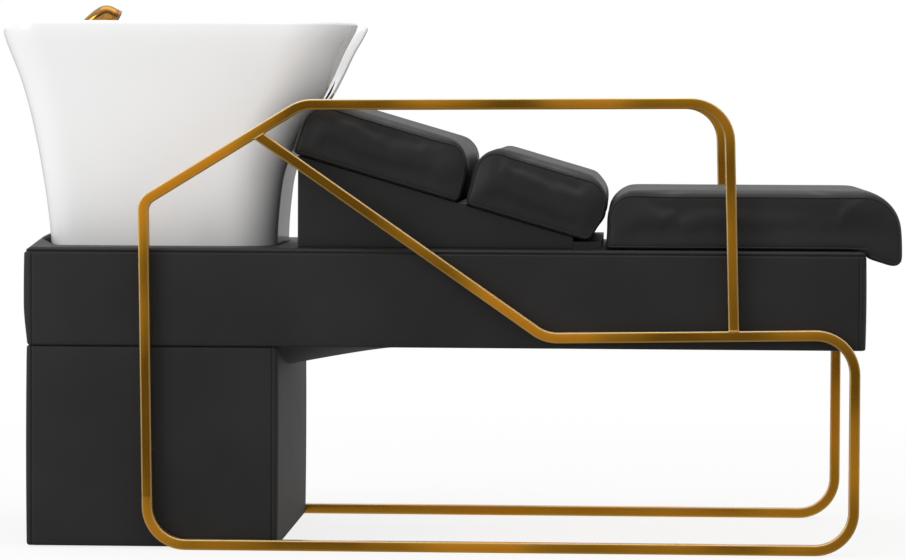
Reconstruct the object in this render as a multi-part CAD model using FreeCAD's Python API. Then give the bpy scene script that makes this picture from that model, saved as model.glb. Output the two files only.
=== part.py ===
import FreeCAD, Part
import math
import os

from FreeCAD import Vector

# Hair washing bed: an upholstered box couch on a plinth, between two side frames of bent square
# tube, with a tilting ceramic basin, its mixer and hand spray at the head end.
# Lengths are millimetres and angles degrees. X runs from the head to the feet, Y from the client's
# right to the client's left, Z up from the floor. The origin lies on the floor, mid length.

# Whole bed
OVERALL_LENGTH = 1642.0
FRAME_WIDTH = 680.0
RIM_HEIGHT = 957.0
OVERRUN = 2.0
SEAT_GAP = 0.3
SCREW_CLEARANCE = 0.3
THREAD_CLEARANCE = 0.1
RUNNING_CLEARANCE = 0.08

# Side frames: square tube, centre line heights and stations
TUBE = 19.0
TUBE_WALL = 1.5
TUBE_CORNER = 2.5
FRAME_BEND = 70.0
SHOULDER_BEND = 28.0
HEAD_POST_FROM_HEAD = 284.0
HEAD_POST_LEAN = 8.0
SHOULDER_HEIGHT = 629.0
ARM_START_FROM_HEAD = 561.5
ARM_START_HEIGHT = 805.0
ARM_RISE = 6.0
ARM_END_FROM_FOOT = 313.5
ARM_POST_LEAN = 11.5
BRACE_START_FROM_HEAD = 477.5
BRACE_END_FROM_FOOT = 639.5
MID_RAIL_HEIGHT = 388.0
MID_RAIL_RISE = 9.0
FOOT_POST_FROM_FOOT = 85.0
JOINT_ABOVE_FLOOR = 96.0
FRAME_TO_BOX = 6.0

# Box of the couch
BOX_FROM_HEAD = 59.0
BOX_FROM_FOOT = 65.0
BOX_BOTTOM = 367.5
BOX_TOP = 546.0
BOARD = 18.0
THIN_BOARD = 9.0
PADDING = 6.0
BOX_CORNER = 12.0
BOX_EDGE = 5.0
BACK_BOARD = 8.0
BACK_ARCH = 17.0
BACK_EDGE = 4.0

# Plinth
PLINTH_FROM_HEAD = 60.0
PLINTH_LENGTH = 458.0
PLINTH_INSET = 4.0
PLINTH_CORNER = 10.0
GLIDE_HEIGHT = 14.0
GLIDE_RADIUS = 20.0
GLIDE_INSET = 60.0
GLIDE_STEM_RADIUS = 4.0
GLIDE_STEM = 12.0
GLIDE_NECK_RADIUS = 10.0
GLIDE_FOOT = 6.0
PANEL_MARGIN = 55.0
PANEL_THICKNESS = 4.0
PANEL_CLEARANCE = 2.0

# Belly fairing between plinth and box
BELLY_LENGTH = 262.0
BELLY_DEPTH = 49.0
BELLY_INSET = 9.0
BELLY_END_DEPTH = 3.0
KEEL_POWER = 1.4

# Wedge under the back cushions
WEDGE_FROM_HEAD = 552.5
WEDGE_LENGTH = 498.0
WEDGE_TOE = 51.0
WEDGE_TOE_HEIGHT = 14.0
WEDGE_TIP_HEIGHT = 568.6
WEDGE_INSET = 25.0
WEDGE_BOARD = 15.0
WEDGE_SKIN = 2.0

# Cushions
CUSHION_INSET = 10.0
CUSHION_EDGE = 11.0
BASE_BOARD = 10.0
BASE_MARGIN = 26.0
SHOULDER_FROM_HEAD = 539.0
SHOULDER_START_HEIGHT = 718.0
SHOULDER_LENGTH = 319.0
SHOULDER_THICKNESS = 105.0
SHOULDER_CROWN = 5.0
BACK_FROM_SHOULDER = 4.0
BACK_FROM_SEAT = 17.6
BACK_THICKNESS = 113.0
BACK_CROWN = 5.0
SEAT_INSET = 7.0
SEAT_FROM_WEDGE = 8.0
SEAT_THICKNESS = 105.0
SEAT_CROWN = 5.0
SEAT_EDGE = 16.0
LIP_DROP = 33.0
LIP_RISE = 20.0
LIP_GAP = 1.0
SEAT_HEAD_RADIUS = 46.0
SEAT_FOOT_RADIUS = 70.0
LIP_RADIUS = 15.0
SMALL_RADIUS = 4.0
SIDE_DRAW = 3.0

# Basin
BASIN_FOOT = 430.0
BASIN_BACK_FLARE = 88.0
BASIN_FRONT_FLARE = 150.5
BASIN_SIDE_FLARE = 58.0
BASIN_LENGTH = 640.5
RIM_TO_FRAME = 59.0
BASIN_BACK_RADIUS = 72.0
BASIN_FRONT_RADIUS = 118.0
BASIN_WALL = 10.0
RIM_WIDTH = 20.0
DECK_DEPTH = 75.0
DECK_LENGTH = 165.0
BOWL_DEPTH = 229.0
BOWL_FLOOR_LENGTH = 190.0
BOWL_FLOOR_WIDTH = 200.0
BOWL_RADIUS = 90.0
NOTCH_DEPTH = 142.0
NOTCH_HALF_WIDTH = 92.0
NOTCH_FLARE = 40.0
NOTCH_RADIUS = 70.0
WELL_CLEARANCE = 13.0

# Waste of the basin
DRAIN_FROM_HEAD = 316.0
DRAIN_RADIUS = 24.0
FLANGE_RADIUS = 36.0
FLANGE_THICKNESS = 2.5
FLANGE_WALL = 2.0
SEAL_THICKNESS = 4.0
NUT_HEIGHT = 10.0
DRAIN_NUT_RADIUS = 34.0
WASTE_STEM = 48.0
TAIL_RADIUS = 16.0
TAIL_LENGTH = 150.0
BARB_RADIUS = 18.0
BARB_PITCH = 8.0
BARB_COUNT = 4
STRAINER_RADIUS = 21.0
STRAINER_THICKNESS = 2.0
STRAINER_HOLE = 2.6
STRAINER_RING = 11.0
STRAINER_HOLES = 8
KNOB_RADIUS = 5.0
KNOB_HEIGHT = 9.0

# Cradle and trunnions
PIVOT_FROM_HEAD = 299.0
PIVOT_HEIGHT = 505.0
CRADLE_PLATE = 5.0
CRADLE_LENGTH = 300.0
CHEEK_GAP = 14.0
CHEEK_WIDTH = 60.0
PAD_THICKNESS = 4.0
PAD_RADIUS = 14.0
PAD_SPACING = 200.0
PIN_RADIUS = 8.0
BUSH_WALL = 2.5
BUSH_FLANGE = 2.0
BEARING_HEIGHT = 40.0
BEARING_LENGTH = 80.0
BEARING_SCREW_SPACING = 60.0
BUFFER_RADIUS = 12.0
BUFFER_HEIGHT = 16.0
BUFFER_FROM_PIVOT = 120.0
BUFFER_SPACING = 180.0

# Mixer
MIXER_FROM_HEAD = 128.0
MIXER_OFFSET = 82.0
MIXER_RADIUS = 23.0
MIXER_BASE_RADIUS = 27.0
MIXER_BASE = 6.0
MIXER_BODY = 30.0
MIXER_CAP = 16.0
MIXER_SHANK_RADIUS = 16.0
MIXER_SHANK = 34.0
MIXER_NUT_RADIUS = 24.0
MIXER_POST_RADIUS = 12.0
SPOUT_RADIUS = 9.0
LEVER_LENGTH = 62.0
LEVER_WIDTH = 13.0
LEVER_THICKNESS = 6.0
LEVER_SLOT = 15.0
LEVER_PIN_RADIUS = 2.5
LEVER_PIN_LENGTH = 27.6
LEVER_REST_GAP = 1.0

# Hand spray and its holder
SPRAY_FROM_HEAD = 134.8
SPRAY_BEND_HEIGHT = 971.8
SPRAY_LEAN = 62.0
SPRAY_NECK_RADIUS = 12.5
SPRAY_BEND = 24.0
SPRAY_TURN = 108.0
SPRAY_FOOT_RADIUS = 9.0
SPRAY_HANDLE = 66.0
SPRAY_HEAD = 13.0
SPRAY_FACE_RADIUS = 10.5
SPRAY_FACE_DEPTH = 2.0
SPRAY_RIB = 0.9
SPRAY_RIB_PITCH = 4.0
HOLDER_RADIUS = 16.0
HOLDER_BASE_RADIUS = 24.0
HOLDER_BASE = 5.0
HOLDER_CUP = 34.0
HOLDER_SHANK_RADIUS = 12.0
HOLDER_SHANK = 30.0
HOLDER_NUT_RADIUS = 19.0

# Fasteners
BOLT_RADIUS = 3.0
BOLT_HEAD_RADIUS = 5.5
BOLT_HEAD = 3.5
BOLT_REACH = 10.0
RIVET_RADIUS = 4.5
RIVET_FLANGE_RADIUS = 6.5
RIVET_FLANGE = 1.0
SPACER_RADIUS = 8.5
SCREW_RADIUS = 2.5
SCREW_HEAD_RADIUS = 5.0
SCREW_HEAD = 3.0
SCREW_BITE = 9.0

# Stations worked out from the sizes above
HEAD = -OVERALL_LENGTH / 2
FOOT = OVERALL_LENGTH / 2
TUBE_HALF = TUBE / 2
TUBE_PLANE = FRAME_WIDTH / 2 - TUBE_HALF
TUBE_INNER_FACE = FRAME_WIDTH / 2 - TUBE
BOX_HALF = TUBE_INNER_FACE - FRAME_TO_BOX
BOX_BACK = HEAD + BOX_FROM_HEAD
BOX_FRONT = FOOT - BOX_FROM_FOOT
PLINTH_HALF = BOX_HALF - PLINTH_INSET
PLINTH_BACK = HEAD + PLINTH_FROM_HEAD
PLINTH_FRONT = PLINTH_BACK + PLINTH_LENGTH
PLINTH_TOP = BOX_BOTTOM - THIN_BOARD
DECK_TOP = BOX_TOP - PADDING
DECK_UNDER = DECK_TOP - BOARD
BOX_INNER = BOX_HALF - PADDING - BOARD
WEDGE_BACK = HEAD + WEDGE_FROM_HEAD
WEDGE_FRONT = WEDGE_BACK + WEDGE_LENGTH
WEDGE_HALF = BOX_HALF - WEDGE_INSET
CUSHION_HALF = BOX_HALF - CUSHION_INSET
SEAT_HALF = BOX_HALF - SEAT_INSET
SEAT_BACK = WEDGE_FRONT + WEDGE_TOE + SEAT_FROM_WEDGE
BASIN_HALF = TUBE_INNER_FACE - RIM_TO_FRAME
PIVOT = Vector(HEAD + PIVOT_FROM_HEAD, 0, PIVOT_HEIGHT)
DECK_HEIGHT = RIM_HEIGHT - DECK_DEPTH
BASIN_FLOOR = RIM_HEIGHT - BOWL_DEPTH
NOTCH_BOTTOM = RIM_HEIGHT - NOTCH_DEPTH
BASIN_HEIGHT = RIM_HEIGHT - BASIN_FOOT
DRAIN_X = HEAD + DRAIN_FROM_HEAD
UP = Vector(0, 0, 1)
ACROSS = Vector(0, 1, 0)


# Shapes that several pieces share

def block(x0, x1, y0, y1, z0, z1):
    return Part.makeBox(x1 - x0, y1 - y0, z1 - z0, Vector(x0, y0, z0))


def rod(radius, start, end):
    way = end.sub(start)
    return Part.makeCylinder(radius, way.Length, start, way)


def fused(shapes):
    return shapes[0].multiFuse(shapes[1:]) if len(shapes) > 1 else shapes[0]


def mirrored(shape):
    """The same piece on the client's left."""
    return shape.mirror(Vector(0, 0, 0), ACROSS)


def both_sides(shape):
    return Part.makeCompound([shape, mirrored(shape)])


def unit(du, dv):
    size = math.hypot(du, dv)
    return du / size, dv / size


def rounded_wire(corners, lift):
    """Closed outline of straight runs joined by tangent arcs. Each corner is (u, v, radius), and
    lift turns (u, v) into a point."""
    arcs = []
    count = len(corners)
    for i in range(count):
        u, v, radius = corners[i]
        back = unit(corners[i - 1][0] - u, corners[i - 1][1] - v)
        ahead = unit(corners[(i + 1) % count][0] - u, corners[(i + 1) % count][1] - v)
        half = math.acos(back[0] * ahead[0] + back[1] * ahead[1]) / 2
        cut = radius / math.tan(half)
        inward = unit(back[0] + ahead[0], back[1] + ahead[1])
        reach = radius / math.sin(half) - radius
        arcs.append((
            lift(u + back[0] * cut, v + back[1] * cut),
            lift(u + inward[0] * reach, v + inward[1] * reach),
            lift(u + ahead[0] * cut, v + ahead[1] * cut),
        ))
    edges = []
    for i in range(count):
        start, middle, end = arcs[i]
        edges.append(Part.Arc(start, middle, end).toShape())
        edges.append(Part.makeLine(end, arcs[(i + 1) % count][0]))
    return Part.Wire(edges)


def rounded_rectangle(x0, x1, half, back_radius, front_radius, z):
    corners = (
        (x0, -half, back_radius),
        (x1, -half, front_radius),
        (x1, half, front_radius),
        (x0, half, back_radius),
    )
    return rounded_wire(corners, lambda u, v: Vector(u, v, z))


def rounded_block(x0, x1, half, radius, z0, z1):
    face = Part.Face(rounded_rectangle(x0, x1, half, radius, radius, z0))
    return face.extrude(Vector(0, 0, z1 - z0))


def upright_profile(points, half):
    """A straight-sided outline in X and Z, carried from one side of the bed to the other."""
    wire = Part.makePolygon([Vector(x, -half, z) for x, z in points + points[:1]])
    return Part.Face(wire).extrude(Vector(0, 2 * half, 0))


def square_to(centre, normal, radius, height):
    return Part.makeCylinder(radius, height, centre, normal)


def pan_screw(head_seat, way, radius, head_radius, head, length):
    """A screw whose head bears on head_seat and whose shank runs along way."""
    shank = Part.makeCylinder(radius, length, head_seat, way)
    cap = Part.makeCylinder(head_radius, head, head_seat.sub(way * head), way)
    return shank.fuse(cap)


def hexagon(radius, height, base, hole):
    corners = [Vector(base.x + radius * math.cos(math.radians(60 * i)),
                      base.y + radius * math.sin(math.radians(60 * i)), base.z) for i in range(7)]
    nut = Part.Face(Part.makePolygon(corners)).extrude(Vector(0, 0, height))
    return nut.cut(Part.makeCylinder(hole, height + 2 * OVERRUN, base.sub(UP * OVERRUN)))


# Side frames

def frame_points():
    """Corners of the centre line, as (x, z)."""
    post_x = HEAD + HEAD_POST_FROM_HEAD
    arm_x = HEAD + ARM_START_FROM_HEAD
    arm_end = FOOT - ARM_END_FROM_FOOT
    brace_end = FOOT - BRACE_END_FROM_FOOT
    foot_x = FOOT - FOOT_POST_FROM_FOOT
    rail_end = MID_RAIL_HEIGHT + MID_RAIL_RISE
    return {
        "floor_head": (post_x, TUBE_HALF),
        "joint": (post_x, JOINT_ABOVE_FLOOR),
        "shoulder": (post_x - HEAD_POST_LEAN, SHOULDER_HEIGHT),
        "arm_start": (arm_x, ARM_START_HEIGHT),
        "arm_end": (arm_end, ARM_START_HEIGHT + ARM_RISE),
        "arm_foot": (arm_end + ARM_POST_LEAN, mid_rail_height(arm_end + ARM_POST_LEAN)),
        "brace_end": (brace_end, MID_RAIL_HEIGHT),
        "rail_end": (foot_x, rail_end),
        "floor_foot": (foot_x, TUBE_HALF),
    }


def mid_rail_height(x):
    """Height of the middle rail's centre line, which climbs a little towards the feet."""
    start = FOOT - BRACE_END_FROM_FOOT
    share = (x - start) / (FOOT - FOOT_POST_FROM_FOOT - start)
    return MID_RAIL_HEIGHT + MID_RAIL_RISE * share


def on_oblique(x):
    start = HEAD + HEAD_POST_FROM_HEAD - HEAD_POST_LEAN
    end = HEAD + ARM_START_FROM_HEAD
    return SHOULDER_HEIGHT + (ARM_START_HEIGHT - SHOULDER_HEIGHT) * (x - start) / (end - start)


def bent_path(points, radii):
    """Straight runs joined by tangent arcs, from the first point to the last."""
    edges = []
    here = Vector(points[0][0], -TUBE_PLANE, points[0][1])
    for i in range(1, len(points) - 1):
        x, z = points[i]
        back = unit(points[i - 1][0] - x, points[i - 1][1] - z)
        ahead = unit(points[i + 1][0] - x, points[i + 1][1] - z)
        half = math.acos(back[0] * ahead[0] + back[1] * ahead[1]) / 2
        cut = radii[i - 1] / math.tan(half)
        inward = unit(back[0] + ahead[0], back[1] + ahead[1])
        reach = radii[i - 1] / math.sin(half) - radii[i - 1]
        start = Vector(x + back[0] * cut, -TUBE_PLANE, z + back[1] * cut)
        middle = Vector(x + inward[0] * reach, -TUBE_PLANE, z + inward[1] * reach)
        end = Vector(x + ahead[0] * cut, -TUBE_PLANE, z + ahead[1] * cut)
        edges.append(Part.makeLine(here, start))
        edges.append(Part.Arc(start, middle, end).toShape())
        here = end
    edges.append(Part.makeLine(here, Vector(points[-1][0], -TUBE_PLANE, points[-1][1])))
    return Part.Wire(edges)


def square_sweep(points, radii, half, corner):
    """A square bar of half size half, its corners rounded by corner, along the bent path."""
    along = unit(points[1][0] - points[0][0], points[1][1] - points[0][1])
    start_x, start_z = points[0]

    def lift(u, v):
        return Vector(start_x - along[1] * u, -TUBE_PLANE + v, start_z + along[0] * u)

    corners = ((-half, -half), (half, -half), (half, half), (-half, half))
    if corner:
        section = rounded_wire([(u, v, corner) for u, v in corners], lift)
    else:
        section = Part.makePolygon([lift(u, v) for u, v in corners + corners[:1]])
    return bent_path(points, radii).makePipeShell([section], True, False)


def side_frame():
    at = frame_points()
    brace_x = HEAD + BRACE_START_FROM_HEAD
    arm_line = [at["joint"], at["shoulder"], at["arm_start"], at["arm_end"], at["arm_foot"]]
    arm_bends = [SHOULDER_BEND, FRAME_BEND, FRAME_BEND]
    loop_line = [(brace_x, on_oblique(brace_x)), at["brace_end"], at["rail_end"],
                 at["floor_foot"], at["floor_head"], at["joint"]]
    loop_bends = [FRAME_BEND, FRAME_BEND, FRAME_BEND, FRAME_BEND]
    inner = TUBE_HALF - TUBE_WALL
    arm_bar = square_sweep(arm_line, arm_bends, TUBE_HALF, TUBE_CORNER)
    loop_bar = square_sweep(loop_line, loop_bends, TUBE_HALF, TUBE_CORNER)
    arm = arm_bar.cut(square_sweep(arm_line, arm_bends, inner, 0)).cut(loop_bar)
    loop = loop_bar.cut(square_sweep(loop_line, loop_bends, inner, 0)).cut(arm_bar)
    return largest(arm), largest(loop)


def largest(shape):
    """The tube itself, without the offcut that a coped end leaves inside the other tube."""
    return max(shape.Solids, key=lambda solid: solid.Volume)


def fixing_points():
    """Where the frame is bolted: (x, z, half width of what it is bolted to, board face inside)."""
    at = frame_points()
    post_x = at["joint"][0]
    rail = [at["brace_end"][0] + FRAME_BEND, at["rail_end"][0] - 2 * FRAME_BEND]
    lean = HEAD_POST_LEAN / (SHOULDER_HEIGHT - JOINT_ABOVE_FLOOR)
    post = [(BOX_BOTTOM + BOX_TOP) / 2, PLINTH_TOP / 2]
    places = [(x, mid_rail_height(x), BOX_HALF) for x in rail]
    places.append((post_x - lean * (post[0] - JOINT_ABOVE_FLOOR), post[0], BOX_HALF))
    places.append((post_x - lean * (post[1] - JOINT_ABOVE_FLOOR), post[1], PLINTH_HALF))
    return places


def frame_holes(shape):
    for x, z, half in fixing_points():
        hole = rod(RIVET_RADIUS + SCREW_CLEARANCE, Vector(x, -TUBE_INNER_FACE + OVERRUN, z),
                   Vector(x, -TUBE_PLANE, z))
        shape = shape.cut(hole)
    return shape


def frame_fasteners():
    spacers = []
    bolts = []
    nuts = []
    for x, z, half in fixing_points():
        board_face = half - PADDING - BOARD
        spacer = rod(SPACER_RADIUS, Vector(x, -half, z), Vector(x, -TUBE_INNER_FACE, z))
        bore = rod(BOLT_RADIUS + SCREW_CLEARANCE, Vector(x, -half + OVERRUN, z),
                   Vector(x, -TUBE_INNER_FACE - OVERRUN, z))
        recess = rod(RIVET_FLANGE_RADIUS + SCREW_CLEARANCE,
                     Vector(x, -TUBE_INNER_FACE + RIVET_FLANGE + SCREW_CLEARANCE, z),
                     Vector(x, -TUBE_INNER_FACE - OVERRUN, z))
        spacers.append(spacer.cut(bore).cut(recess))
        bolts.append(pan_screw(Vector(x, -board_face, z), Vector(0, -1, 0), BOLT_RADIUS,
                               BOLT_HEAD_RADIUS, BOLT_HEAD, TUBE_INNER_FACE - board_face + BOLT_REACH))
        body = rod(RIVET_RADIUS, Vector(x, -TUBE_INNER_FACE, z),
                   Vector(x, -TUBE_INNER_FACE - BOLT_REACH - OVERRUN, z))
        flange = rod(RIVET_FLANGE_RADIUS, Vector(x, -TUBE_INNER_FACE + RIVET_FLANGE, z),
                     Vector(x, -TUBE_INNER_FACE, z))
        bore = rod(BOLT_RADIUS + THREAD_CLEARANCE, Vector(x, -board_face, z),
                   Vector(x, -TUBE_PLANE - TUBE, z))
        nuts.append(body.fuse(flange).cut(bore))
    return [both_sides(Part.makeCompound(group)) for group in (spacers, bolts, nuts)]


def bolt_holes(shape, half):
    """Clears the frame bolts that pass through a board or a cover of that half width."""
    for x, z, width in fixing_points():
        if width == half:
            hole = rod(BOLT_RADIUS + SCREW_CLEARANCE, Vector(x, -half - OVERRUN, z),
                       Vector(x, -half + PADDING + BOARD + OVERRUN, z))
            shape = shape.cut(hole).cut(mirrored(hole))
    return shape


# Basin

# Each row is a level up the skirt: share of the height, of the back and side flare, of the front flare
SKIRT_SHARES = (
    (0.00, 0.00, 0.00),
    (0.25, 0.065, 0.008),
    (0.36, 0.13, 0.035),
    (0.46, 0.215, 0.085),
    (0.56, 0.315, 0.20),
    (0.66, 0.435, 0.37),
    (0.75, 0.57, 0.575),
    (0.82, 0.70, 0.70),
    (0.90, 0.88, 0.83),
    (0.955, 0.99, 0.94),
    (0.99, 1.00, 1.00),
)
SKIRT_LEVELS = 10
HOLLOW_LEVELS = 5
FOOT_RADIUS_SHARE = 0.75
RIM_TURNS = (0.0, 30.0, 60.0, 90.0)
BOWL_SHARES = (0.0, 0.05, 0.15, 0.32, 0.55, 0.78, 1.0)


def slope(table, column, row):
    """Steepness of a column at a row, from the rows beside it."""
    low = table[max(row - 1, 0)]
    high = table[min(row + 1, len(table) - 1)]
    return (high[column] - low[column]) / (high[0] - low[0])


def between(table, column, share):
    """Value of a column at a height share, by a smooth cubic through the rows."""
    row = 0
    while row < len(table) - 2 and share > table[row + 1][0]:
        row += 1
    low, high = table[row], table[row + 1]
    step = high[0] - low[0]
    t = min((share - low[0]) / step, 1.0)
    bend = t * t * (3 - 2 * t)
    start = slope(table, column, row) * step * t * (1 - t) ** 2
    end = slope(table, column, row + 1) * step * t * t * (1 - t)
    return low[column] * (1 - bend) + high[column] * bend + start - end


def basin_level(share, inset):
    """Back, front, half width and corner radii of the skirt at a share of its height."""
    flare = between(SKIRT_SHARES, 1, share)
    front_flare = between(SKIRT_SHARES, 2, share)
    back = HEAD + BASIN_BACK_FLARE * (1 - flare) + inset
    front = HEAD + BASIN_LENGTH - BASIN_FRONT_FLARE * (1 - front_flare) - inset
    half = BASIN_HALF - BASIN_SIDE_FLARE * (1 - flare) - inset
    swell = FOOT_RADIUS_SHARE + (1 - FOOT_RADIUS_SHARE) * flare
    return back, front, half, BASIN_BACK_RADIUS * swell - inset, BASIN_FRONT_RADIUS * swell - inset


def basin_section(share, inset, z):
    back, front, half, back_radius, front_radius = basin_level(share, inset)
    return rounded_rectangle(back, front, half, back_radius, front_radius, z)


def height_at(share):
    return BASIN_FOOT + BASIN_HEIGHT * share


def share_at(height):
    return (height - BASIN_FOOT) / BASIN_HEIGHT


def skirt(inset, low, high, levels):
    """The flared body between two heights, drawn in by inset all round, in straight-sided bands."""
    wires = []
    for i in range(levels + 1):
        z = low + (high - low) * i / levels
        wires.append(basin_section(share_at(z), inset, z))
    return Part.makeLoft(wires, True, True)


def rolled_rim():
    """The top of the rim, rounded over by a quarter turn."""
    top = SKIRT_SHARES[-1][0]
    base = height_at(top)
    roll = RIM_HEIGHT - base
    wires = []
    for turn in RIM_TURNS:
        angle = math.radians(turn)
        wires.append(basin_section(top, roll * (1 - math.cos(angle)), base + roll * math.sin(angle)))
    return Part.makeLoft(wires, True, True)


def bowl(grow):
    """Bowl cavity under the tap deck, or with grow the ceramic round it."""
    back, front, half, back_radius, front_radius = basin_level(share_at(DECK_HEIGHT), RIM_WIDTH)
    deck_front = back + DECK_LENGTH
    floor_back = DRAIN_X - BOWL_FLOOR_LENGTH / 2
    floor_front = DRAIN_X + BOWL_FLOOR_LENGTH / 2
    wires = []
    for share in BOWL_SHARES:
        spread = math.sqrt(1 - (1 - share) ** 2)
        x0 = floor_back + (deck_front - floor_back) * spread - grow
        x1 = floor_front + (front - floor_front) * spread + grow
        y1 = BOWL_FLOOR_WIDTH / 2 + (half - BOWL_FLOOR_WIDTH / 2) * spread + grow
        z = BASIN_FLOOR - grow + (DECK_HEIGHT - BASIN_FLOOR + grow) * share
        wires.append(rounded_rectangle(x0, x1, y1, BOWL_RADIUS, BOWL_RADIUS, z))
    return Part.makeLoft(wires, True, True)


def deck_recess(grow, low):
    """Room above the tap deck, inside the rim."""
    wires = []
    for share in (share_at(low), SKIRT_SHARES[-2][0], 1.0):
        wires.append(basin_section(share, RIM_WIDTH - grow, height_at(share)))
    return Part.makeLoft(wires, True, True)


def neck_notch():
    """Cutter for the neck rest, a rounded trough that widens upwards, carried along X."""
    top = RIM_HEIGHT + OVERRUN
    low = NOTCH_HALF_WIDTH
    high = NOTCH_HALF_WIDTH + NOTCH_FLARE
    start = HEAD + BASIN_LENGTH - BASIN_FRONT_FLARE - BASIN_BACK_RADIUS
    end = HEAD + BASIN_LENGTH + OVERRUN
    corners = (
        (-low, NOTCH_BOTTOM, NOTCH_RADIUS),
        (low, NOTCH_BOTTOM, NOTCH_RADIUS),
        (high, top, SMALL_RADIUS),
        (-high, top, SMALL_RADIUS),
    )
    wire = rounded_wire(corners, lambda u, v: Vector(start, u, v))
    return Part.Face(wire).extrude(Vector(end - start, 0, 0))


def basin():
    body = skirt(0, BASIN_FOOT, height_at(SKIRT_SHARES[-1][0]), SKIRT_LEVELS).fuse(rolled_rim())
    hollow = skirt(BASIN_WALL, BASIN_FOOT, DECK_HEIGHT - BASIN_WALL, HOLLOW_LEVELS)
    over_notch = block(HEAD + BASIN_BACK_FLARE + DECK_LENGTH, FOOT, -BASIN_HALF, BASIN_HALF,
                       NOTCH_BOTTOM - BASIN_WALL, RIM_HEIGHT)
    hollow = hollow.cut(over_notch).cut(bowl(BASIN_WALL))
    body = body.cut(hollow)
    body = body.cut(bowl(0)).cut(deck_recess(0, DECK_HEIGHT)).cut(neck_notch())
    for hole, x, y in ((DRAIN_RADIUS, DRAIN_X, 0),
                       (MIXER_SHANK_RADIUS, HEAD + MIXER_FROM_HEAD, MIXER_OFFSET),
                       (HOLDER_SHANK_RADIUS, holder_foot().x, 0)):
        bore = Part.makeCylinder(hole + SCREW_CLEARANCE, BASIN_HEIGHT, Vector(x, y, BASIN_FOOT))
        body = body.cut(bore)
    return largest(body)


# Waste

def drain():
    floor = Vector(DRAIN_X, 0, BASIN_FLOOR)
    tube_out = DRAIN_RADIUS
    tube_in = DRAIN_RADIUS - FLANGE_WALL
    plate = square_to(floor, UP, FLANGE_RADIUS, FLANGE_THICKNESS)
    stem = square_to(floor.sub(UP * WASTE_STEM), UP, tube_out, WASTE_STEM + FLANGE_THICKNESS)
    bore = square_to(floor.sub(UP * (WASTE_STEM - FLANGE_WALL)), UP, tube_in,
                     WASTE_STEM + FLANGE_THICKNESS)
    outlet = TAIL_RADIUS
    flange = plate.fuse(stem).cut(bore).cut(square_to(floor.sub(UP * (WASTE_STEM + OVERRUN)), UP, outlet,
                                                      WASTE_STEM))
    under = floor.sub(UP * BASIN_WALL)
    seal = square_to(under.sub(UP * SEAL_THICKNESS), UP, DRAIN_NUT_RADIUS, SEAL_THICKNESS)
    seal = seal.cut(square_to(under.sub(UP * (SEAL_THICKNESS + OVERRUN)), UP,
                              tube_out + THREAD_CLEARANCE, BASIN_WALL))
    nut_base = under.sub(UP * (SEAL_THICKNESS + NUT_HEIGHT))
    nut = hexagon(DRAIN_NUT_RADIUS, NUT_HEIGHT, nut_base, tube_out + THREAD_CLEARANCE)
    tail_top = floor.sub(UP * (WASTE_STEM - FLANGE_WALL))
    tail_way = tail_top.sub(UP * TAIL_LENGTH)
    tail = square_to(tail_way, UP, TAIL_RADIUS - THREAD_CLEARANCE, TAIL_LENGTH)
    collar = square_to(tail_top, UP, tube_in - THREAD_CLEARANCE, FLANGE_WALL)
    barbs = []
    for i in range(BARB_COUNT):
        barbs.append(Part.makeCone(TAIL_RADIUS, BARB_RADIUS, BARB_PITCH / 2,
                                   tail_way.add(UP * (BARB_PITCH * i))))
    tail = fused([tail, collar] + barbs)
    tail = tail.cut(square_to(tail_way.sub(UP * OVERRUN), UP, TAIL_RADIUS - 2 * FLANGE_WALL,
                              TAIL_LENGTH + BASIN_WALL))
    return flange, seal, nut, tail


def strainer():
    seat = Vector(DRAIN_X, 0, BASIN_FLOOR + FLANGE_THICKNESS + SEAT_GAP)
    disc = square_to(seat, UP, DRAIN_RADIUS + FLANGE_WALL, STRAINER_THICKNESS)
    guide = square_to(seat.sub(UP * STRAINER_THICKNESS * 2), UP, STRAINER_RADIUS, STRAINER_THICKNESS * 2)
    guide = guide.cut(square_to(seat.sub(UP * STRAINER_THICKNESS * 2), UP,
                                STRAINER_RADIUS - STRAINER_THICKNESS, STRAINER_THICKNESS * 2))
    knob = Part.makeCylinder(KNOB_RADIUS, KNOB_HEIGHT, seat)
    knob = knob.fuse(Part.makeSphere(KNOB_RADIUS, seat.add(UP * KNOB_HEIGHT)))
    plate = fused([disc, guide, knob])
    for i in range(STRAINER_HOLES):
        turn = math.radians(360 * i / STRAINER_HOLES)
        centre = seat.add(Vector(STRAINER_RING * math.cos(turn), STRAINER_RING * math.sin(turn), 0))
        plate = plate.cut(square_to(centre.sub(UP * STRAINER_THICKNESS), UP, STRAINER_HOLE,
                                    STRAINER_THICKNESS * 3))
    return plate


# Cradle, trunnions and what carries them

def cradle_half():
    return basin_level(share_at(BOX_TOP), 0)[2] + CHEEK_GAP


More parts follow.
